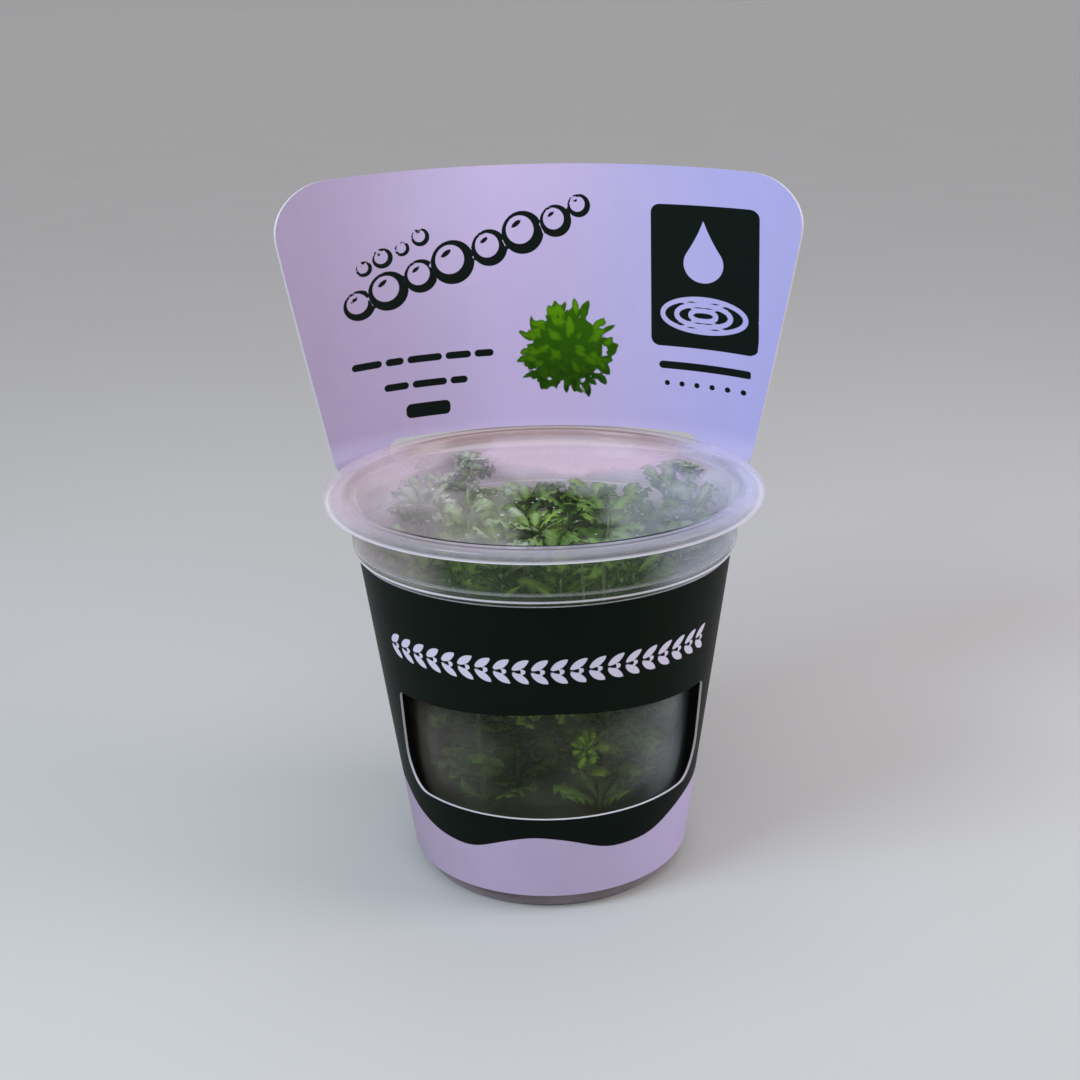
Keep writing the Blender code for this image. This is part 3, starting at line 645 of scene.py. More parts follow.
tall_random = np.random.default_rng(5)
for number, plant in enumerate(PLANTS, 1):
    young, ages = [], []
    plant_age = BRIGHT if number in BRIGHT_PLANTS else DARK
    for share in np.arange(YOUNG_FIRST, 1.0, YOUNG_PITCH):
        if min(abs(share - whorl_at[0]) for whorl_at in plant[3]) > YOUNG_CLEAR:
            place, axes = along_stem(plant, share)[0], stem_axes(plant, share)
            size = random.uniform(*YOUNG_SIZES) + LONGER_BELOW * (1 - share)
            lift = random.uniform(*YOUNG_LIFTS)
            young += young_whorl(place, axes, size, lift, random, YOUNG_LOOSE, PLAIN_SECTION)
            ages += [plant_age] * LEAVES_IN_WHORL
    for shoot in LEAFY_SHOOTS:
        if shoot[0] == number:
            usual = (1.0, SHOOT_LOOSE, plant_age)
            scale, loose, age = LOW_SHOOT if shoot[2][2] < LOW_TIP else usual
            for share, size in SHOOT_WHORLS:
                share += random.uniform(*OFF_SHARE)
                place, axes = along_shoot(shoot, share)[0], shoot_axes(shoot, share)
                lift = SHOOT_LIFT + TIP_LIFT * share
                young += young_whorl(place, axes, scale * size, lift, random, loose, BROAD_SECTION)
                ages += [age] * LEAVES_IN_WHORL
    if number == PAIR_PLANT:
        for turn, size in PAIR:
            size, turn = size * MM, math.radians(turn)
            young.append(leaf(PAIR_PLACE, PAIR_AXES, size, 0.0, turn, 1, 0.0, NARROW_SECTION, YOUNG_ROWS))
            ages.append(FRESH)
    ages = list(np.clip(random.normal(ages, AGE_SPREAD), 0, 1))
    for shoot in TALL_SHOOTS:
        if shoot[0] == number:
            for share, size in TALL_WHORLS:
                place, axes = along_shoot(shoot, share)[0], shoot_axes(shoot, share)
                young += young_whorl(place, axes, size, TALL_LIFT, tall_random, TALL_LOOSE,
                                     BROADEST_SECTION)
                ages += list(tall_random.uniform(*TALL_AGES, LEAVES_IN_WHORL))
    piece = join_grids(f"young_leaves_{number}", [kept_in_cup(blade) for blade in young],
                       leaf_finish.material, ages)
    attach(piece, "root")

# Cup
# A thin clear plastic cup, thermoformed in one: flat foot, tapered body, a ledge and ring under a
# wider neck, and a flange for the lid. Warm damp air inside has fogged its wall with fine drops.
CUP_OUTLINE = [
    (0.0, 0.0, 0),
    (29.4, 0.0, 0.7),
    (29.9, 4.0, 0.4),
    (36.4, 76.0, 0.5),
    (42.3, 76.3, 0.35),
    (42.7, 77.1, 0.4),
    (43.3, 83.6, 1.0),
    (45.05, 86.6, 0.5),
    (47.1, 87.2, 0.2),
    (47.1, 88.5, 0.4),
    (44.65, 88.5, 0.3),
    (44.35, 86.9, 0.5),
    (42.5, 83.6, 1.0),
    (41.8, 77.1, 0.4),
    (35.6, 76.8, 0.5),
    (29.1, 4.0, 2.0),
    (27.4, 1.2, 1.2),
    (0.0, 1.2, 0),
]
# How opaque the wall is in thin and in thick fog: before the plantlets, then at its sides
BODY_FOG = ((0.08, 0.25), (0.12, 0.34))
NECK_FOG = ((0.16, 0.28), (0.20, 0.34))
# The fog's colour before the plantlets, painted dark as shade, and the warm left and cool right of the sides
# The warm left and the cool right are painted tints of light
BODY_TINTS = ((0.095, 0.105, 0.070), (0.105, 0.095, 0.080), (0.20, 0.225, 0.23))
NECK_TINTS = ((0.085, 0.125, 0.070), (0.48, 0.41, 0.40), (0.47, 0.51, 0.60))
# Painted pink light on the neck's fog at the back, from the lit pink card behind it
NECK_BACK_PINK_LIGHT = (0.92, 0.74, 0.84)

cup_finish = Finish("fogged_cup_plastic", 0.14, IOR=1.49)
across, up = cup_finish.axis("X"), cup_finish.axis("Z")
clouds = cup_finish.noise(15, detail=3.0).ramp(0.34, 0.66)
fine_drops = cup_finish.cells(1.1).ramp(0.15, 0.45, 1.0, 0.0)
edge_haze = cup_finish.facing(0.35).ramp(0.30, 0.80, 0.0, 0.38)
in_neck = up.ramp(75.5, 77.5)
body_sides = abs(across).ramp(11, 23)
neck_sides = abs(across).ramp(19, 27)
body_haze = body_sides.mix(clouds.mix(*BODY_FOG[0]), clouds.mix(*BODY_FOG[1]))
neck_haze = neck_sides.mix(clouds.mix(*NECK_FOG[0]), clouds.mix(*NECK_FOG[1]))
# Painted highlights: a bright line on the ring under the neck, a pale line above the ledge, a paler band at
# the foot
ring_shine = up.between(76.7, 76.9, 77.2, 77.5) * cup_finish.way_from().ramp(41.9, 42.2)
ledge_highlight_line = up.between(78.3, 78.5, 78.7, 78.9)
foot_shine = up.ramp(3.5, 5.0, 1.0, 0.0)
haze = in_neck.mix(body_haze, neck_haze) + edge_haze + fine_drops * 0.05
cup_finish.feed("Alpha", haze + ring_shine.larger(foot_shine) * 0.5 + ledge_highlight_line * 0.10)
# Painted light: the fog warmer to the left and cooler to the right
cool_lit_side = across.ramp(-22, 24)
at_back = cup_finish.axis("Y").ramp(15, 28)
body_colour = body_sides.blend(BODY_TINTS[0], cool_lit_side.blend(*BODY_TINTS[1:]))
neck_colour = neck_sides.blend(NECK_TINTS[0], cool_lit_side.blend(*NECK_TINTS[1:]))
cup_finish.colour(layered(
    in_neck.blend(body_colour, at_back.blend(neck_colour, NECK_BACK_PINK_LIGHT)),
    (ring_shine, (0.90, 0.88, 0.94)),
    (ledge_highlight_line, (0.62, 0.64, 0.64)),
    (foot_shine, (0.30, 0.25, 0.27)),
))
cup_finish.relief(fine_drops, 0.08, 0.4)
cup = lathe("growing_cup", np.array(CUP_OUTLINE) * MM, cup_finish.material)
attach(cup, "root")
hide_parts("cup")

# Lid
# A clear snap-on lid, thermoformed: a sunk flat panel, fogged from below, inside a round frosted
# rim that is pressed down over the cup's flange.
LID_OUTLINE = [
    (0.0, 87.6, 0),
    (42.9, 87.6, 0.25),
    (43.7, 89.6, 0.6),
    (45.2, 90.0, 0.8),
    (47.6, 90.0, 1.2),
    (49.0, 88.9, 1.1),
    (48.3, 87.1, 0.3),
    (47.5, 87.1, 0.2),
    (47.6, 88.2, 0.3),
    (46.5, 89.2, 0.5),
    (44.55, 89.2, 0.3),
    (43.95, 87.2, 0.3),
    (43.3, 86.8, 0.2),
    (0.0, 86.8, 0),
]
# How opaque the panel is from thin to thick cloud, where it is fogged and where it is wiped clear
FOGGED = (0.12, 0.26)
WIPED = (0.004, 0.03)
# How much of the clearing at the lid's ends, the painted pink sheen at the back and the painted shade of the
# groove shows
ENDS_SHARE = 0.68
SHEEN_SHARE = 0.27
GROOVE_SHARE = 0.3
RIM_OPACITY = 0.36
# The fog's colour at its warm left and its cool right, painted tints of light: on the panel, over leaves as
# painted shade, on the rim
PANEL_TINTS = ((0.80, 0.70, 0.76), (0.74, 0.77, 0.92))
LEAFY_TINTS = ((0.45, 0.48, 0.29), (0.43, 0.51, 0.50))
RIM_TINTS = ((0.72, 0.60, 0.68), (0.68, 0.66, 0.90))
GLOSSY, MATT = 0.16, 1.0

lid_finish = Finish("fogged_lid_plastic", GLOSSY, IOR=1.49)
out, up = lid_finish.way_from(), lid_finish.axis("Z")
clouds = lid_finish.noise(13, detail=2.5).ramp(0.30, 0.70)
on_rim = out.ramp(42.9, 43.4)
towards_front = lid_finish.axis("Y").ramp(-38, -20, 1.0, 0.0)
towards_back = lid_finish.axis("Y").ramp(26, 36)
clear_front = lid_finish.oval((3.5, -22), (12, 31), 0.65, 0.25)
clear_back = lid_finish.oval((8, 30), (26, 16), 0.4, 0.3)
clear_left = lid_finish.oval((-17, 20), (9, 24), 0.3, 0.5)
clear_right = lid_finish.oval((35, 21), (7, 12), 0.3, 0.4)
wiped = clear_front.larger(clear_back).larger(clear_left.larger(clear_right) * ENDS_SHARE)
# Painted reflection of the pink header card at the back of the panel
back_sheen = lid_finish.oval((9.5, 32), (29, 24), 0.7, 0.15)
# Painted shade: where the fog lies over leaves it is darker and greener
over_leaves = lid_finish.oval((5, -15), (37, 33), 0.5, 0.2)
# Painted shade: a dark, matt line round the front of the panel's edge, in the groove and on the crest's inner
# side
groove = out.between(42.6, 42.8, 43.0, 43.2) * GROOVE_SHARE
inner_crest = out.between(43.5, 43.7, 45.5, 45.8) * up.ramp(89.0, 89.2)
groove_shade_line = (groove + inner_crest) * towards_front
# Painted highlight along the rim's lower outer edge
lower_edge_highlight = out.ramp(47.2, 47.5) * up.ramp(87.2, 87.7, 1.0, 0.0)
# Painted shadow: two brownish lines round the back of the rim, under the card's slot edge
back_shadow_lines = (out.between(43.7, 44.0, 44.6, 44.9) + out.between(47.4, 47.7, 48.2, 48.5)) * towards_back
panel_haze = wiped.mix(clouds.mix(*FOGGED), clouds.mix(*WIPED)).larger(back_sheen * SHEEN_SHARE)
cool_lit_side = lid_finish.axis("X").ramp(-20, 30)
panel_colour = layered(
    cool_lit_side.blend(*PANEL_TINTS),
    (over_leaves, cool_lit_side.blend(*LEAFY_TINTS)),
    (back_sheen, (1.0, 0.80, 0.92)),
)
streaks = lid_finish.noise(9, detail=3.0, stretch=(0.5, 1.0, 3.0)).ramp(0.45, 0.70, 0.0, 0.45)
front_shade = towards_front * out.ramp(45.9, 48.0, 0.20, 0.80)
rim_colour = layered(
    cool_lit_side.blend(*RIM_TINTS),
    (streaks, (0.34, 0.36, 0.44)),
    (front_shade, (0.30, 0.29, 0.32)),
    (towards_back * 0.7, (0.72, 0.50, 0.48)),
)
opacity = on_rim.mix(panel_haze, RIM_OPACITY)
lid_colour = on_rim.blend(panel_colour, rim_colour)
# Painted shadow lines, highlight and dark groove line laid over the lid's colour and opacity
for line, line_opacity, tint in (
    (back_shadow_lines, 0.6, (0.24, 0.12, 0.085)),
    (lower_edge_highlight, 0.85, (0.95, 0.93, 0.98)),
    (groove_shade_line, 0.95, (0.005, 0.005, 0.005)),
):
    opacity = line.mix(opacity, line_opacity)
    lid_colour = line.blend(lid_colour, tint)
lid_finish.colour(lid_colour)
lid_finish.feed("Alpha", opacity)
lid_finish.feed("Roughness", groove_shade_line.mix(GLOSSY, MATT))
lid_finish.relief(lid_finish.noise(4), 0.12, 0.3)
lid = lathe("snap_lid", np.array(LID_OUTLINE) * MM, lid_finish.material)
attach(lid, "root")
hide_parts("lid")

# Condensation
# Small drops of clean water that hang under the lid's panel and cling to the inside of the neck,
# where warm damp air from the plantlets meets the cooler plastic.
LID_DROPS = 120
NECK_DROPS = 70
DROP_SIZES = (0.16 * MM, 0.75 * MM)
DROP_USUAL = 0.27
DROP_SPREAD = 0.40
DROP_DEPTH = 0.55
WETTED_RADIUS = 41.0 * MM
# Heights and inside radii of the neck, in mm
NECK_INSIDE = ((78.4, 83.4), (41.94, 42.48))
SUNK = 0.02


def drops_on_wall(places, inward, sizes, steps=5, sides=8):
    """Closed drops with a flat back on a wall. With t from 0 to a quarter turn, a drop's outline
    is cos t across the wall and its depth times sin t into the room, both times its size."""
    t = np.linspace(0.0, math.pi / 2, steps)
    across_wall = np.concatenate([[0.0], np.cos(t)])
    across_wall[-1] = 0.0
    into_room = np.concatenate([[0.0], DROP_DEPTH * np.sin(t)])
    angle = np.arange(sides) * (2 * math.pi / sides)
    one = np.cross(inward, (0.3, 0.5, 0.81))
    one /= np.linalg.norm(one, axis=1)[:, None]
    other = np.cross(inward, one)
    ring = one[:, None, :] * np.cos(angle)[:, None] + other[:, None, :] * np.sin(angle)[:, None]
    spread = across_wall[None, :, None, None] * ring[:, None, :, :]
    height = into_room[None, :, None, None] * inward[:, None, None, :]
    return places[:, None, None, :] + sizes[:, None, None, None] * (spread + height)


scatter = np.random.default_rng(11)
around = scatter.uniform(0, 2 * math.pi, LID_DROPS)
off_middle = WETTED_RADIUS * np.sqrt(scatter.uniform(0, 1, LID_DROPS))
under_lid = np.stack([off_middle * np.cos(around), off_middle * np.sin(around),
                      np.full(LID_DROPS, PANEL_UNDERSIDE - SUNK * MM)], axis=1)
around = scatter.uniform(0, 2 * math.pi, NECK_DROPS)
up = scatter.uniform(*NECK_INSIDE[0], NECK_DROPS)
off_middle = (np.interp(up, *NECK_INSIDE) - SUNK) * MM
outward = np.stack([np.cos(around), np.sin(around), 0 * around], axis=1)
in_neck = outward * off_middle[:, None] + up[:, None] * (0.0, 0.0, MM)
places = np.concatenate([under_lid, in_neck])
inward = np.concatenate([np.tile((0.0, 0.0, -1.0), (LID_DROPS, 1)), -outward])
sizes = np.clip(scatter.lognormal(math.log(DROP_USUAL), DROP_SPREAD, len(places)) * MM, *DROP_SIZES)
water_finish = Finish("water_drop", 0.02, IOR=1.333, Transmission_Weight=1.0)
water_finish.colour(water_finish.noise(2).blend((0.90, 0.95, 0.96), (1.0, 1.0, 1.0)))
drops = join_grids("condensation", drops_on_wall(places, inward, sizes), water_finish.material)
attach(drops, "root")

# Card sleeve and header
# One die-cut sheet of coated card. It wraps the cup as a cone with a rounded window in front, and
# its header stands up behind the lid, whose rim it hooks over by a long slot.
CARD_THICKNESS = 0.5 * MM
SLEEVE_LOW = (31.7 * MM, 4.0 * MM)
SLEEVE_HIGH = (41.4 * MM, 75.7 * MM)
HEADER_TOP = 153.1 * MM
HEADER_BEND = 68.0 * MM
HEADER_BACK = (45.0 * MM, 88.0 * MM)
HEADER_LEAN = 0.12
HEADER_CROWN = 1.3 * MM
HEADER_CORNER = 12 * MM
HEADER_HALF_LOW = 65.2
HEADER_HALF_HIGH = 75.0
SEAM = 100.0
SLOT_HALF = 47.5
SLOT_HEIGHTS = (85.3 * MM, 90.4 * MM)
WINDOW_MIDDLE = -182.6
WINDOW_HALVES = (61.2, 67.4)
WINDOW_HEIGHTS = (50.7 * MM, 24.2 * MM)
WINDOW_CROWN = 2.2 * MM
# Heights over which the sheet rises from cone to header, and how much later it ends sideways
RISE_HEIGHTS = (62 * MM, 77 * MM)
SIDE_DELAY = 4 * MM
DELAY_TURNS = (15, 45)
# Past these turns the sheet stays on the cone, until the heights where all of it is header
CONE_TURNS = (56, 76)
WING_HEIGHTS = (78 * MM, 85 * MM)


def ease(value, low, high):
    """0 below low, 1 above high, and t t (3 - 2 t) between them."""
    t = np.clip((value - low) / (high - low), 0.0, 1.0)
    return t * t * (3 - 2 * t)


def on_card(turn, height):
    """The bent sheet as a surface of the angle from the back (degrees, + towards +X) and the
    height. Low down it is a cone round the cup. High up at the back it is an upright arc of
    HEADER_BEND that leans back, and the two run into each other above the sleeve."""
    off_back = np.minimum(np.abs(turn), 360 - np.abs(turn))
    taper = (SLEEVE_HIGH[0] - SLEEVE_LOW[0]) / (SLEEVE_HIGH[1] - SLEEVE_LOW[1])
    cone = SLEEVE_LOW[0] + taper * (height - SLEEVE_LOW[1])
    centre = HEADER_BACK[0] + HEADER_LEAN * (height - HEADER_BACK[1]) - HEADER_BEND
    side = np.radians(off_back)
    arc = centre * np.cos(side) + np.sqrt(HEADER_BEND**2 - (centre * np.sin(side)) ** 2)
    rise = ease(height, RISE_HEIGHTS[0], RISE_HEIGHTS[1] + SIDE_DELAY * ease(off_back, *DELAY_TURNS))
    share = rise * (1 - ease(off_back, *CONE_TURNS) * (1 - ease(height, *WING_HEIGHTS)))
    radius = cone + share * (arc - cone)
    angle = np.radians(90 - turn)
    return np.stack([radius * np.cos(angle), radius * np.sin(angle), height], axis=-1)


def die_line(corners, steps=10):
    """A cutting line with rounded corners. Each corner is (turn, height, radius), and the arcs are
    drawn as if the sheet lay flat, at 0.75 mm a degree."""
    per_degree = 0.75 * MM
    flat = np.array([(turn * per_degree, height) for turn, height, _ in corners])
    line = []
    for k, (_, _, radius) in enumerate(corners):
        here = flat[k]
        if radius == 0:
            line.append(here[None])
            continue
        back = flat[k - 1] - here
        on = flat[(k + 1) % len(corners)] - here
        back, on = back / np.hypot(*back), on / np.hypot(*on)
        half = math.acos(back @ on) / 2
        middle = here + (back + on) / np.hypot(*(back + on)) * radius / math.sin(half)
        share = np.linspace(0, 1, steps + 1)[:, None]
        reach = radius / math.tan(half)
        start, end = here + back * reach - middle, here + on * reach - middle
        sweep = math.pi - 2 * half
        arc = (start * np.sin((1 - share) * sweep) + end * np.sin(share * sweep)) / math.sin(sweep)
        line.append(middle + arc)
    line = np.concatenate(line)
    return line / (per_degree, 1.0)


def with_points_along(line, longest=(1.5, 1.5 * MM)):
    """A closed line with extra points on its long straight stretches."""
    after = np.roll(line, -1, axis=0)
    pieces = np.maximum(1, np.ceil(np.max(np.abs(after - line) / longest, axis=1))).astype(int)
    which = np.repeat(np.arange(len(line)), pieces)
    share = (np.arange(len(which)) - np.repeat(np.cumsum(pieces) - pieces, pieces)) / pieces[which]
    return line[which] + (after - line)[which] * share[:, None]


def is_inside(spots, line):
    """Whether each spot is inside a closed line: a ray from it crosses the line an odd number of
    times."""
    crossings = np.zeros(len(spots), dtype=int)
    for (ax, ay), (bx, by) in zip(line, np.roll(line, -1, axis=0)):
        if ay != by:
            straddles = (ay > spots[:, 1]) != (by > spots[:, 1])
            crossings += straddles & (spots[:, 0] < ax + (spots[:, 1] - ay) / (by - ay) * (bx - ax))
    return crossings % 2 == 1


tab = [
    (HEADER_HALF_LOW + 4, SLEEVE_HIGH[1], 2.5 * MM),
    (HEADER_HALF_LOW - 6, SLEEVE_HIGH[1] + 5 * MM, 1.5 * MM),
    (HEADER_HALF_LOW - 1, HEADER_BACK[1] - 1.0 * MM, 7.5 * MM),
    (HEADER_HALF_HIGH, HEADER_TOP, HEADER_CORNER),
]
right_edge = die_line([(SEAM, SLEEVE_LOW[1], 0), (SEAM, SLEEVE_HIGH[1], 0), *tab, (0, HEADER_TOP, 0)])
left_edge = right_edge[2:-1][::-1] * (-1, 1)
edge = np.concatenate([right_edge, left_edge, [(SEAM - 360, SLEEVE_HIGH[1]), (SEAM - 360, SLEEVE_LOW[1])]])
edge = with_points_along(edge)
near_top = ease(edge[:, 1], HEADER_TOP - HEADER_CORNER, HEADER_TOP)
edge[:, 1] -= HEADER_CROWN * (edge[:, 0] / HEADER_HALF_HIGH) ** 2 * near_top
window = with_points_along(die_line([
    (WINDOW_MIDDLE - WINDOW_HALVES[0], WINDOW_HEIGHTS[0] - WINDOW_CROWN, 2.2 * MM),
    (WINDOW_MIDDLE, WINDOW_HEIGHTS[0], 0),
    (WINDOW_MIDDLE + WINDOW_HALVES[0], WINDOW_HEIGHTS[0] - WINDOW_CROWN, 2.2 * MM),
    (WINDOW_MIDDLE + WINDOW_HALVES[1], WINDOW_HEIGHTS[1], 8 * MM),
    (WINDOW_MIDDLE - WINDOW_HALVES[1], WINDOW_HEIGHTS[1], 8 * MM),
]))
slot_half_height = (SLOT_HEIGHTS[1] - SLOT_HEIGHTS[0]) / 2
slot = with_points_along(die_line([
    (-SLOT_HALF, SLOT_HEIGHTS[0], 0.6 * slot_half_height),
    (SLOT_HALF, SLOT_HEIGHTS[0], 0.6 * slot_half_height),
    (SLOT_HALF, SLOT_HEIGHTS[1], 0.95 * slot_half_height),
    (-SLOT_HALF, SLOT_HEIGHTS[1], 0.95 * slot_half_height),
]))
border = np.concatenate([edge, window, slot])


def spots_between(turns, heights, pitch):
    """A field of spots in rows, every second row shifted by half a pitch, over a part of the
    sheet. Pitch is (degrees, metres)."""
    turn = np.arange(turns[0], turns[1], pitch[0])
    height = np.arange(heights[0], heights[1], pitch[1])
    field = np.stack(np.meshgrid(turn, height), axis=-1)
    field[::2, :, 0] += pitch[0] / 2
    return field.reshape(-1, 2)


# The two parts of the sheet with fine print, as (turns, heights, pitch of their points)
FINE_PARTS = (
    ((-61.0, 61.0), (94.0 * MM, 147.0 * MM), (0.6, 0.6 * MM)),
    ((-238.0, -122.0), (57.0 * MM, 65.0 * MM), (0.6, 0.5 * MM)),
)
# Degrees and metres brought to one scale, on which a spot this near to a border is left out
EVEN = np.array((0.01, 10.0))
TOO_NEAR = 0.008


def on_sheet(spots):
    """Whether each spot is inside the sheet's edge and outside its window and its slot."""
    return is_inside(spots, edge) & ~is_inside(spots, window) & ~is_inside(spots, slot)


spots = spots_between((SEAM - 360, SEAM), (SLEEVE_LOW[1], HEADER_TOP), (2.8, 2.4 * MM))
for turns, heights, pitch in FINE_PARTS:
    in_part = ((spots > (turns[0], heights[0])) & (spots < (turns[1], heights[1]))).all(axis=1)
    spots = np.concatenate([spots[~in_part], spots_between(turns, heights, pitch)])
spots = spots[on_sheet(spots)]
near = np.zeros(len(spots), dtype=bool)
for start in range(0, len(border), 64):
    way = spots[:, None] * EVEN - border[None, start:start + 64] * EVEN
    near |= (np.hypot(way[..., 0], way[..., 1]) < TOO_NEAR).any(axis=1)
flat = np.concatenate([border, spots[~near]]) * EVEN
ties = []
for line in (edge, window, slot):
    first = len(ties)
    ties += [(first + k, first + (k + 1) % len(line)) for k in range(len(line))]
cut = delaunay_2d_cdt([tuple(spot) for spot in flat], ties, [], 0, 1e-7)
sheet = np.array([tuple(point) for point in cut[0]]) / EVEN
triangles = np.array(cut[2])
triangles = triangles[on_sheet(sheet[triangles].mean(axis=1))][:, ::-1]
card_points = on_card(sheet[:, 0], sheet[:, 1])


# Inks are distances in mm inside printed forms, and each form is drawn on a pair (x, z) of places
def disc(on, middle, radius):
    """Distance inside a round form: its radius less the way to its middle."""
    return radius - np.hypot(on[0] - middle[0], on[1] - middle[1])


def bar(on, start, end, half):
    """Distance inside a round-ended bar: its half height less the way to its middle line."""
    off = on - np.array(start)[:, None]
    way = np.subtract(end, start)[:, None]
    share = np.clip((off * way).sum(axis=0) / (way**2).sum(), 0, 1)
    return half - np.hypot(*(off - share * way))


def panel(on, left, right, low, high, corner):
    """Distance inside a plain panel with round corners."""
    over_x = np.abs(on[0] - (left + right) / 2) - (right - left) / 2 + corner
    over_z = np.abs(on[1] - (low + high) / 2) - (high - low) / 2 + corner
    outside = np.hypot(np.maximum(over_x, 0), np.maximum(over_z, 0))
    return corner - outside - np.minimum(np.maximum(over_x, over_z), 0)


def pointed_leaf(on, foot, tip, width):
    """Distance inside a pointed leaf between two ends: the part shared by two discs."""
    foot, tip = np.array(foot), np.array(tip)
    long = np.hypot(*(tip - foot)) / 2
    along = (tip - foot) / (2 * long)
    radius = (long**2 + width**2) / (2 * width)
    aside = (radius - width) * np.array((-along[1], along[0]))
    middle = (tip + foot) / 2
    return np.minimum(disc(on, middle + aside, radius), disc(on, middle - aside, radius))


def water_ring(on, middle, wide, tall, half):
    """Distance inside an oval ring: half its line less the way to the oval, which is the oval's
    own measure less one, over how fast that measure grows."""
    off_x, off_z = (on[0] - middle[0]) / wide, (on[1] - middle[1]) / tall
    measure = np.hypot(off_x, off_z)
    grows = np.hypot(off_x / wide, off_z / tall) / np.maximum(measure, 1e-6)
    return half - np.abs(measure - 1) / np.maximum(grows, 1e-6)


def widest(*forms):
    """Forms laid over one another."""
    return np.maximum.reduce(forms)


# The dark band round the sleeve, whose lower edge is a soft wave of turns and heights (mm)
WAVE_TURNS = (-180, -90, -70, -63, -47, -31, -17, -6, 7, 21.5, 40, 55, 64, 90, 180)
WAVE_HEIGHTS = (22.0, 23.5, 22.2, 19.0, 15.7, 14.8, 18.2, 19.8, 18.6, 15.3, 15.6, 19.3, 20.9, 23.0, 22.0)
WAVE_SOFTNESS, WAVE_REACH = 4.0, 12
BAND_TOP = 84.0
SLEEVE_MM_A_DEGREE = 0.70
PATCH_MM_A_DEGREE = 0.78
height = card_points[:, 2] / MM
front_turn = (-sheet[:, 0]) % 360.0 - 180.0
weights = np.exp(-0.5 * (np.arange(-WAVE_REACH, WAVE_REACH + 1) / WAVE_SOFTNESS) ** 2)
turns_round = np.arange(-WAVE_REACH, 361 + WAVE_REACH) % 360 - 180
straight = np.interp(turns_round, WAVE_TURNS, WAVE_HEIGHTS)
wave = np.interp(front_turn, np.arange(-180, 181), np.convolve(straight, weights / weights.sum(), "valid"))
sleeve_dark = np.minimum(height - wave, BAND_TOP - height)

# A row of small paired leaves on the sleeve's band
ROW_START, ROW_PITCH, ROW_LEAVES = -38.5, 4.05, 20
on_sleeve = np.stack([front_turn * SLEEVE_MM_A_DEGREE, height])
sleeve_pale = widest(*[
    form
    for middle in ROW_START + ROW_PITCH * np.arange(ROW_LEAVES)
    for form in (pointed_leaf(on_sleeve, (middle - 1.5, 61.1), (middle + 2.3, 63.6), 0.85),
                 pointed_leaf(on_sleeve, (middle - 1.5, 60.5), (middle + 2.3, 58.0), 0.85),
                 disc(on_sleeve, (middle + 1.0, 60.8), 0.55))
])

# A chain of pearls across the header, each (x, z, radius) with a hollow middle and a glint
PEARLS = (
    (-43.0, 123.6, 3.3), (-36.6, 126.2, 4.3), (-29.0, 128.8, 3.7), (-21.6, 131.6, 4.9),
    (-12.6, 134.4, 4.1), (-4.6, 137.8, 4.8), (3.6, 140.2, 3.6), (9.4, 143.6, 2.6),
    (-41.5, 131.6, 1.7), (-37.4, 133.6, 2.2), (-32.8, 135.2, 1.6), (-28.6, 137.6, 2.0),
)
LINE_BETWEEN = 0.2
on_header = np.stack([card_points[:, 0] / MM, height])
pearls = np.full(len(height), -9.0)
for x, z, radius in PEARLS:
    whole = disc(on_header, (x + 0.14 * radius, z - 0.14 * radius), 1.06 * radius)
    hollow = disc(on_header, (x, z), 0.70 * radius)
    glint_foot = (x - 0.45 * radius, z + 0.1 * radius)
    glint_tip = (x + 0.1 * radius, z + 0.5 * radius)
    glint = pointed_leaf(on_header, glint_foot, glint_tip, 0.12 * radius)
    pearl = widest(np.minimum(whole, -hollow), glint)
    pearls = np.where(whole > -LINE_BETWEEN, pearl, widest(pearls, whole))

# Rows of plain bars, by the height of each row, and a blank tag below them
BARS = {
    108.8: ((-44, -39), (-36.5, -34), (-31.5, -25), (-22.5, -18), (-15.5, -12.5)),
    102.8: ((-37, -33), (-30.5, -24), (-21.5, -19)),
}
bars = widest(*[
    bar(on_header, (start, z), (end, z), 0.85) for z, spans in BARS.items() for start, end in spans
])
tag = panel(on_header, -33.0, -22.5, 94.8, 98.2, 1.2)

# A dark plate with a water drop over three rings, and a bar and dots under it
PLATE_MIDDLE = 38.7
RING_SIZES = (2.8, 6.0, 9.2)
plate = panel(on_header, 26.8, 50.6, 110.8, 144.0, 2.0)
drop = widest(*[
    disc(on_header, (PLATE_MIDDLE, 130.6 + 10.4 * s), 4.4 * (1 - s) ** 1.25) for s in np.linspace(0, 0.98, 30)
])
rings = widest(*[
    water_ring(on_header, (PLATE_MIDDLE, 118.6), size, 0.42 * size, 0.55) for size in RING_SIZES
])
dots = widest(*[disc(on_header, (30.5 + 3.4 * k, 102.0), 0.65) for k in range(6)])
under_plate = widest(bar(on_header, (29.5, 106.3), (48.5, 106.3), 0.9), dots)
header_dark = widest(pearls, bars, tag, np.minimum(plate, -widest(drop, rings)), under_plate)

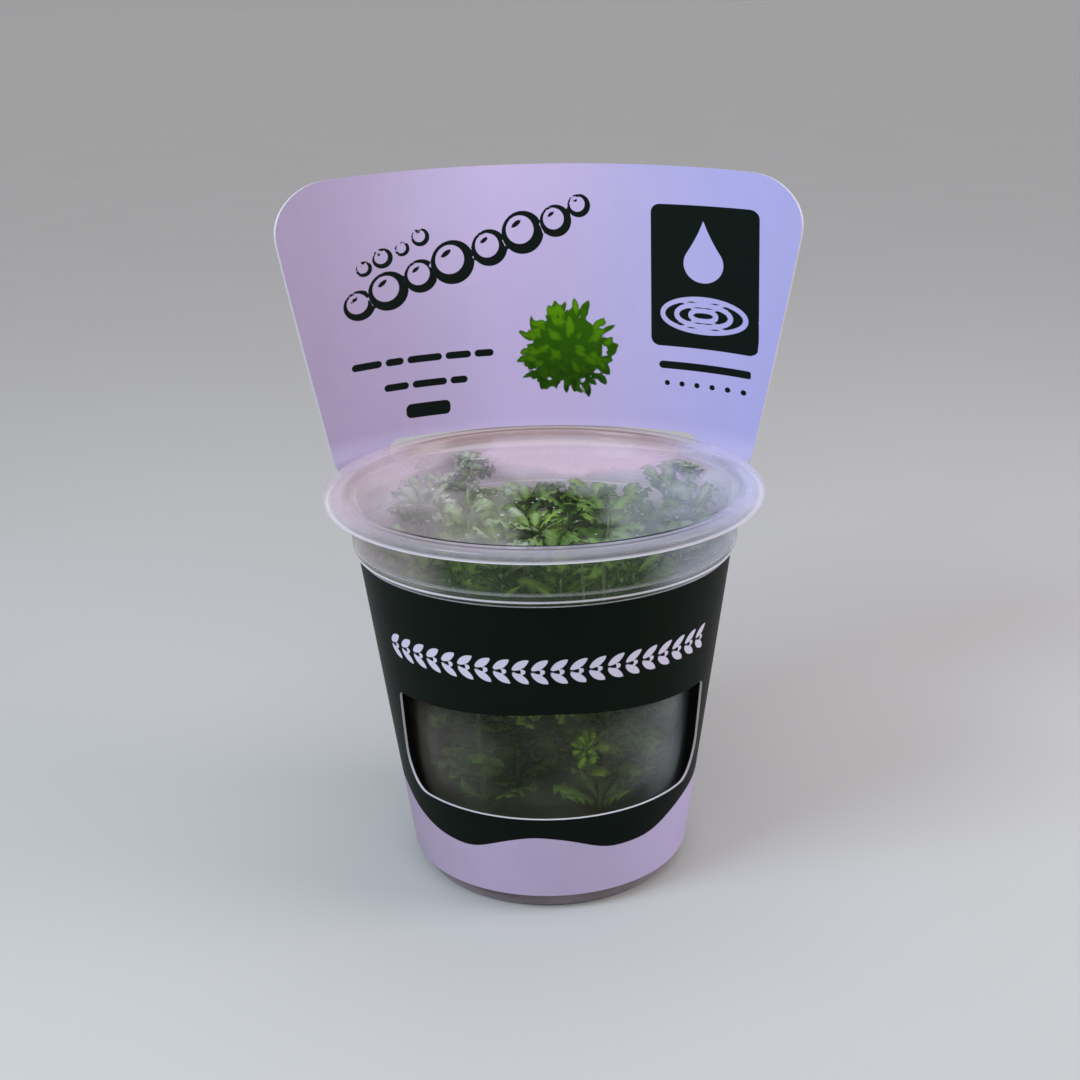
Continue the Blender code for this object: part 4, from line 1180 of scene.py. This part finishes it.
# A grey-brown patch of painted shade on the card's inner face, which shows through the lid, and a round clump
# of foliage in two greens
flap_shade = panel((sheet[:, 0] * PATCH_MM_A_DEGREE, height), -31.8, -22.0, 79.0, 85.0, 2.4)
CLUMP_MIDDLE = (6.5, 109.2)
CLUMP_HALVES = (9.6, 8.8)
CLUMP_LEAVES = 150
clump = np.random.default_rng(3)
header_green = panel(on_header, -2.0, 15.0, 101.6, 116.8, 7.0)
header_light = np.full(len(height), -5.0)
for k in range(CLUMP_LEAVES):
    angle = clump.uniform(0, 2 * math.pi)
    out = math.sqrt(clump.uniform(0.02, 1.0))
    foot = np.array((math.cos(angle), math.sin(angle))) * out * CLUMP_HALVES + CLUMP_MIDDLE
    points_to = angle + clump.normal(0, 0.6)
    tip = foot + clump.uniform(2.6, 4.6) * np.array((math.cos(points_to), math.sin(points_to)))
    blade = pointed_leaf(on_header, foot, tip, clump.uniform(0.55, 0.95))
    header_green = widest(header_green, blade)
    if k % 2 and foot[1] > 106:
        header_light = widest(header_light, blade)

# The inks, printed with edges this sharp (mm)
INK_TINTS = ((0.0025, 0.0055, 0.0035), (0.005, 0.009, 0.006))
SHARP = 0.04


def card_stock(name, at_left, in_middle, at_right):
    """Coated card, as its finish and its pale ink, with painted light that makes it a little warmer to the
    left and a little cooler to the right, a faint mottle and a very fine uneven surface."""
    made = Finish(name, 0.42, Specular_IOR_Level=0.035)
    across = made.axis("X")
    pale = across.ramp(-50, -10).blend(at_left, in_middle)
    pale = across.ramp(5, 45).blend(pale, at_right)
    made.relief(made.noise(0.7, detail=3.0), 0.02, 0.35)
    return made, made.noise(6, detail=3.0).mix(0.0, 0.06).blend(pale, (1.0, 1.0, 1.0))


def printed(finish, form, low=-SHARP, high=SHARP):
    """Where a form is printed: 0 at the distance low inside it and 1 at the distance high."""
    return finish.attribute(form).ramp(low, high)


outside_finish, pale = card_stock("sleeve_print", (0.36, 0.26, 0.34), (0.44, 0.36, 0.53), (0.48, 0.41, 0.66))
outside_finish.colour(layered(
    pale,
    (printed(outside_finish, "sleeve_dark"), outside_finish.noise(14).blend(*INK_TINTS)),
    (printed(outside_finish, "sleeve_pale"), (0.62, 0.58, 0.72)),
))

# The header's face, which below the lid's rim is plain card with painted shade
inside_finish, pale = card_stock("header_print", (0.42, 0.34, 0.51), (0.52, 0.42, 0.65), (0.42, 0.40, 0.73))
up = inside_finish.axis("Z")
up_clump = up.ramp(99, 119)
light_green = up_clump.blend((0.022, 0.08, 0.003), (0.10, 0.26, 0.004))
foliage = layered(
    up_clump.blend((0.008, 0.030, 0.002), (0.035, 0.125, 0.003)),
    (inside_finish.noise(1.6, detail=4.0).ramp(0.4, 0.7), (0.028, 0.09, 0.003)),
    (printed(inside_finish, "header_light", -0.05, 0.5), light_green),
)
# Painted shade on the inner face: dark low inside the sleeve, rising to bright pink card near the rim
shaded_plain_card = layered(
    up.ramp(68, 79).blend((0.22, 0.24, 0.20), (0.95, 0.78, 0.86)),
    (printed(inside_finish, "flap_shade", -0.2, 0.2), (0.40, 0.32, 0.32)),
)
inside_finish.colour(layered(
    pale,
    (printed(inside_finish, "header_green", -0.1, 0.1), foliage),
    # Painted highlight: lighter lilac on the header just above the lid's rim
    (up.ramp(88, 93, 0.6, 0.0), (0.66, 0.60, 0.86)),
    (up.ramp(84, 86.5, 1.0, 0.0), shaded_plain_card),
    (printed(inside_finish, "header_dark"), (0.006, 0.010, 0.008)),
))

cut_finish = Finish("cut_card_edge", 0.7)
cut_finish.colour(cut_finish.noise(1.0).blend((0.52, 0.50, 0.54), (0.62, 0.60, 0.66)))

card = put_in_scene("card", card_points, triangles, outside_finish.material,
                    sleeve_dark=sleeve_dark, sleeve_pale=sleeve_pale, header_dark=header_dark,
                    header_green=header_green, header_light=header_light, flap_shade=flap_shade)
shape = bmesh.new()
shape.from_mesh(card.data)
bmesh.ops.delete(shape, geom=[v for v in shape.verts if not v.link_faces], context="VERTS")
bmesh.ops.remove_doubles(shape, verts=shape.verts, dist=0.01 * MM)
shape.to_mesh(card.data)
shape.free()
card.data.materials.append(inside_finish.material)
card.data.materials.append(cut_finish.material)
wall = card.modifiers.new("thickness", "SOLIDIFY")
wall.thickness = CARD_THICKNESS
wall.offset = 0.0
wall.use_even_offset = True
wall.material_offset = 1
wall.material_offset_rim = 2
solid_card = bpy.data.meshes.new_from_object(card.evaluated_get(bpy.context.evaluated_depsgraph_get()))
card.modifiers.clear()
card.data = solid_card
solid_card.set_sharp_from_angle(angle=math.radians(40))
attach(card, "root")
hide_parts("card_sleeve")
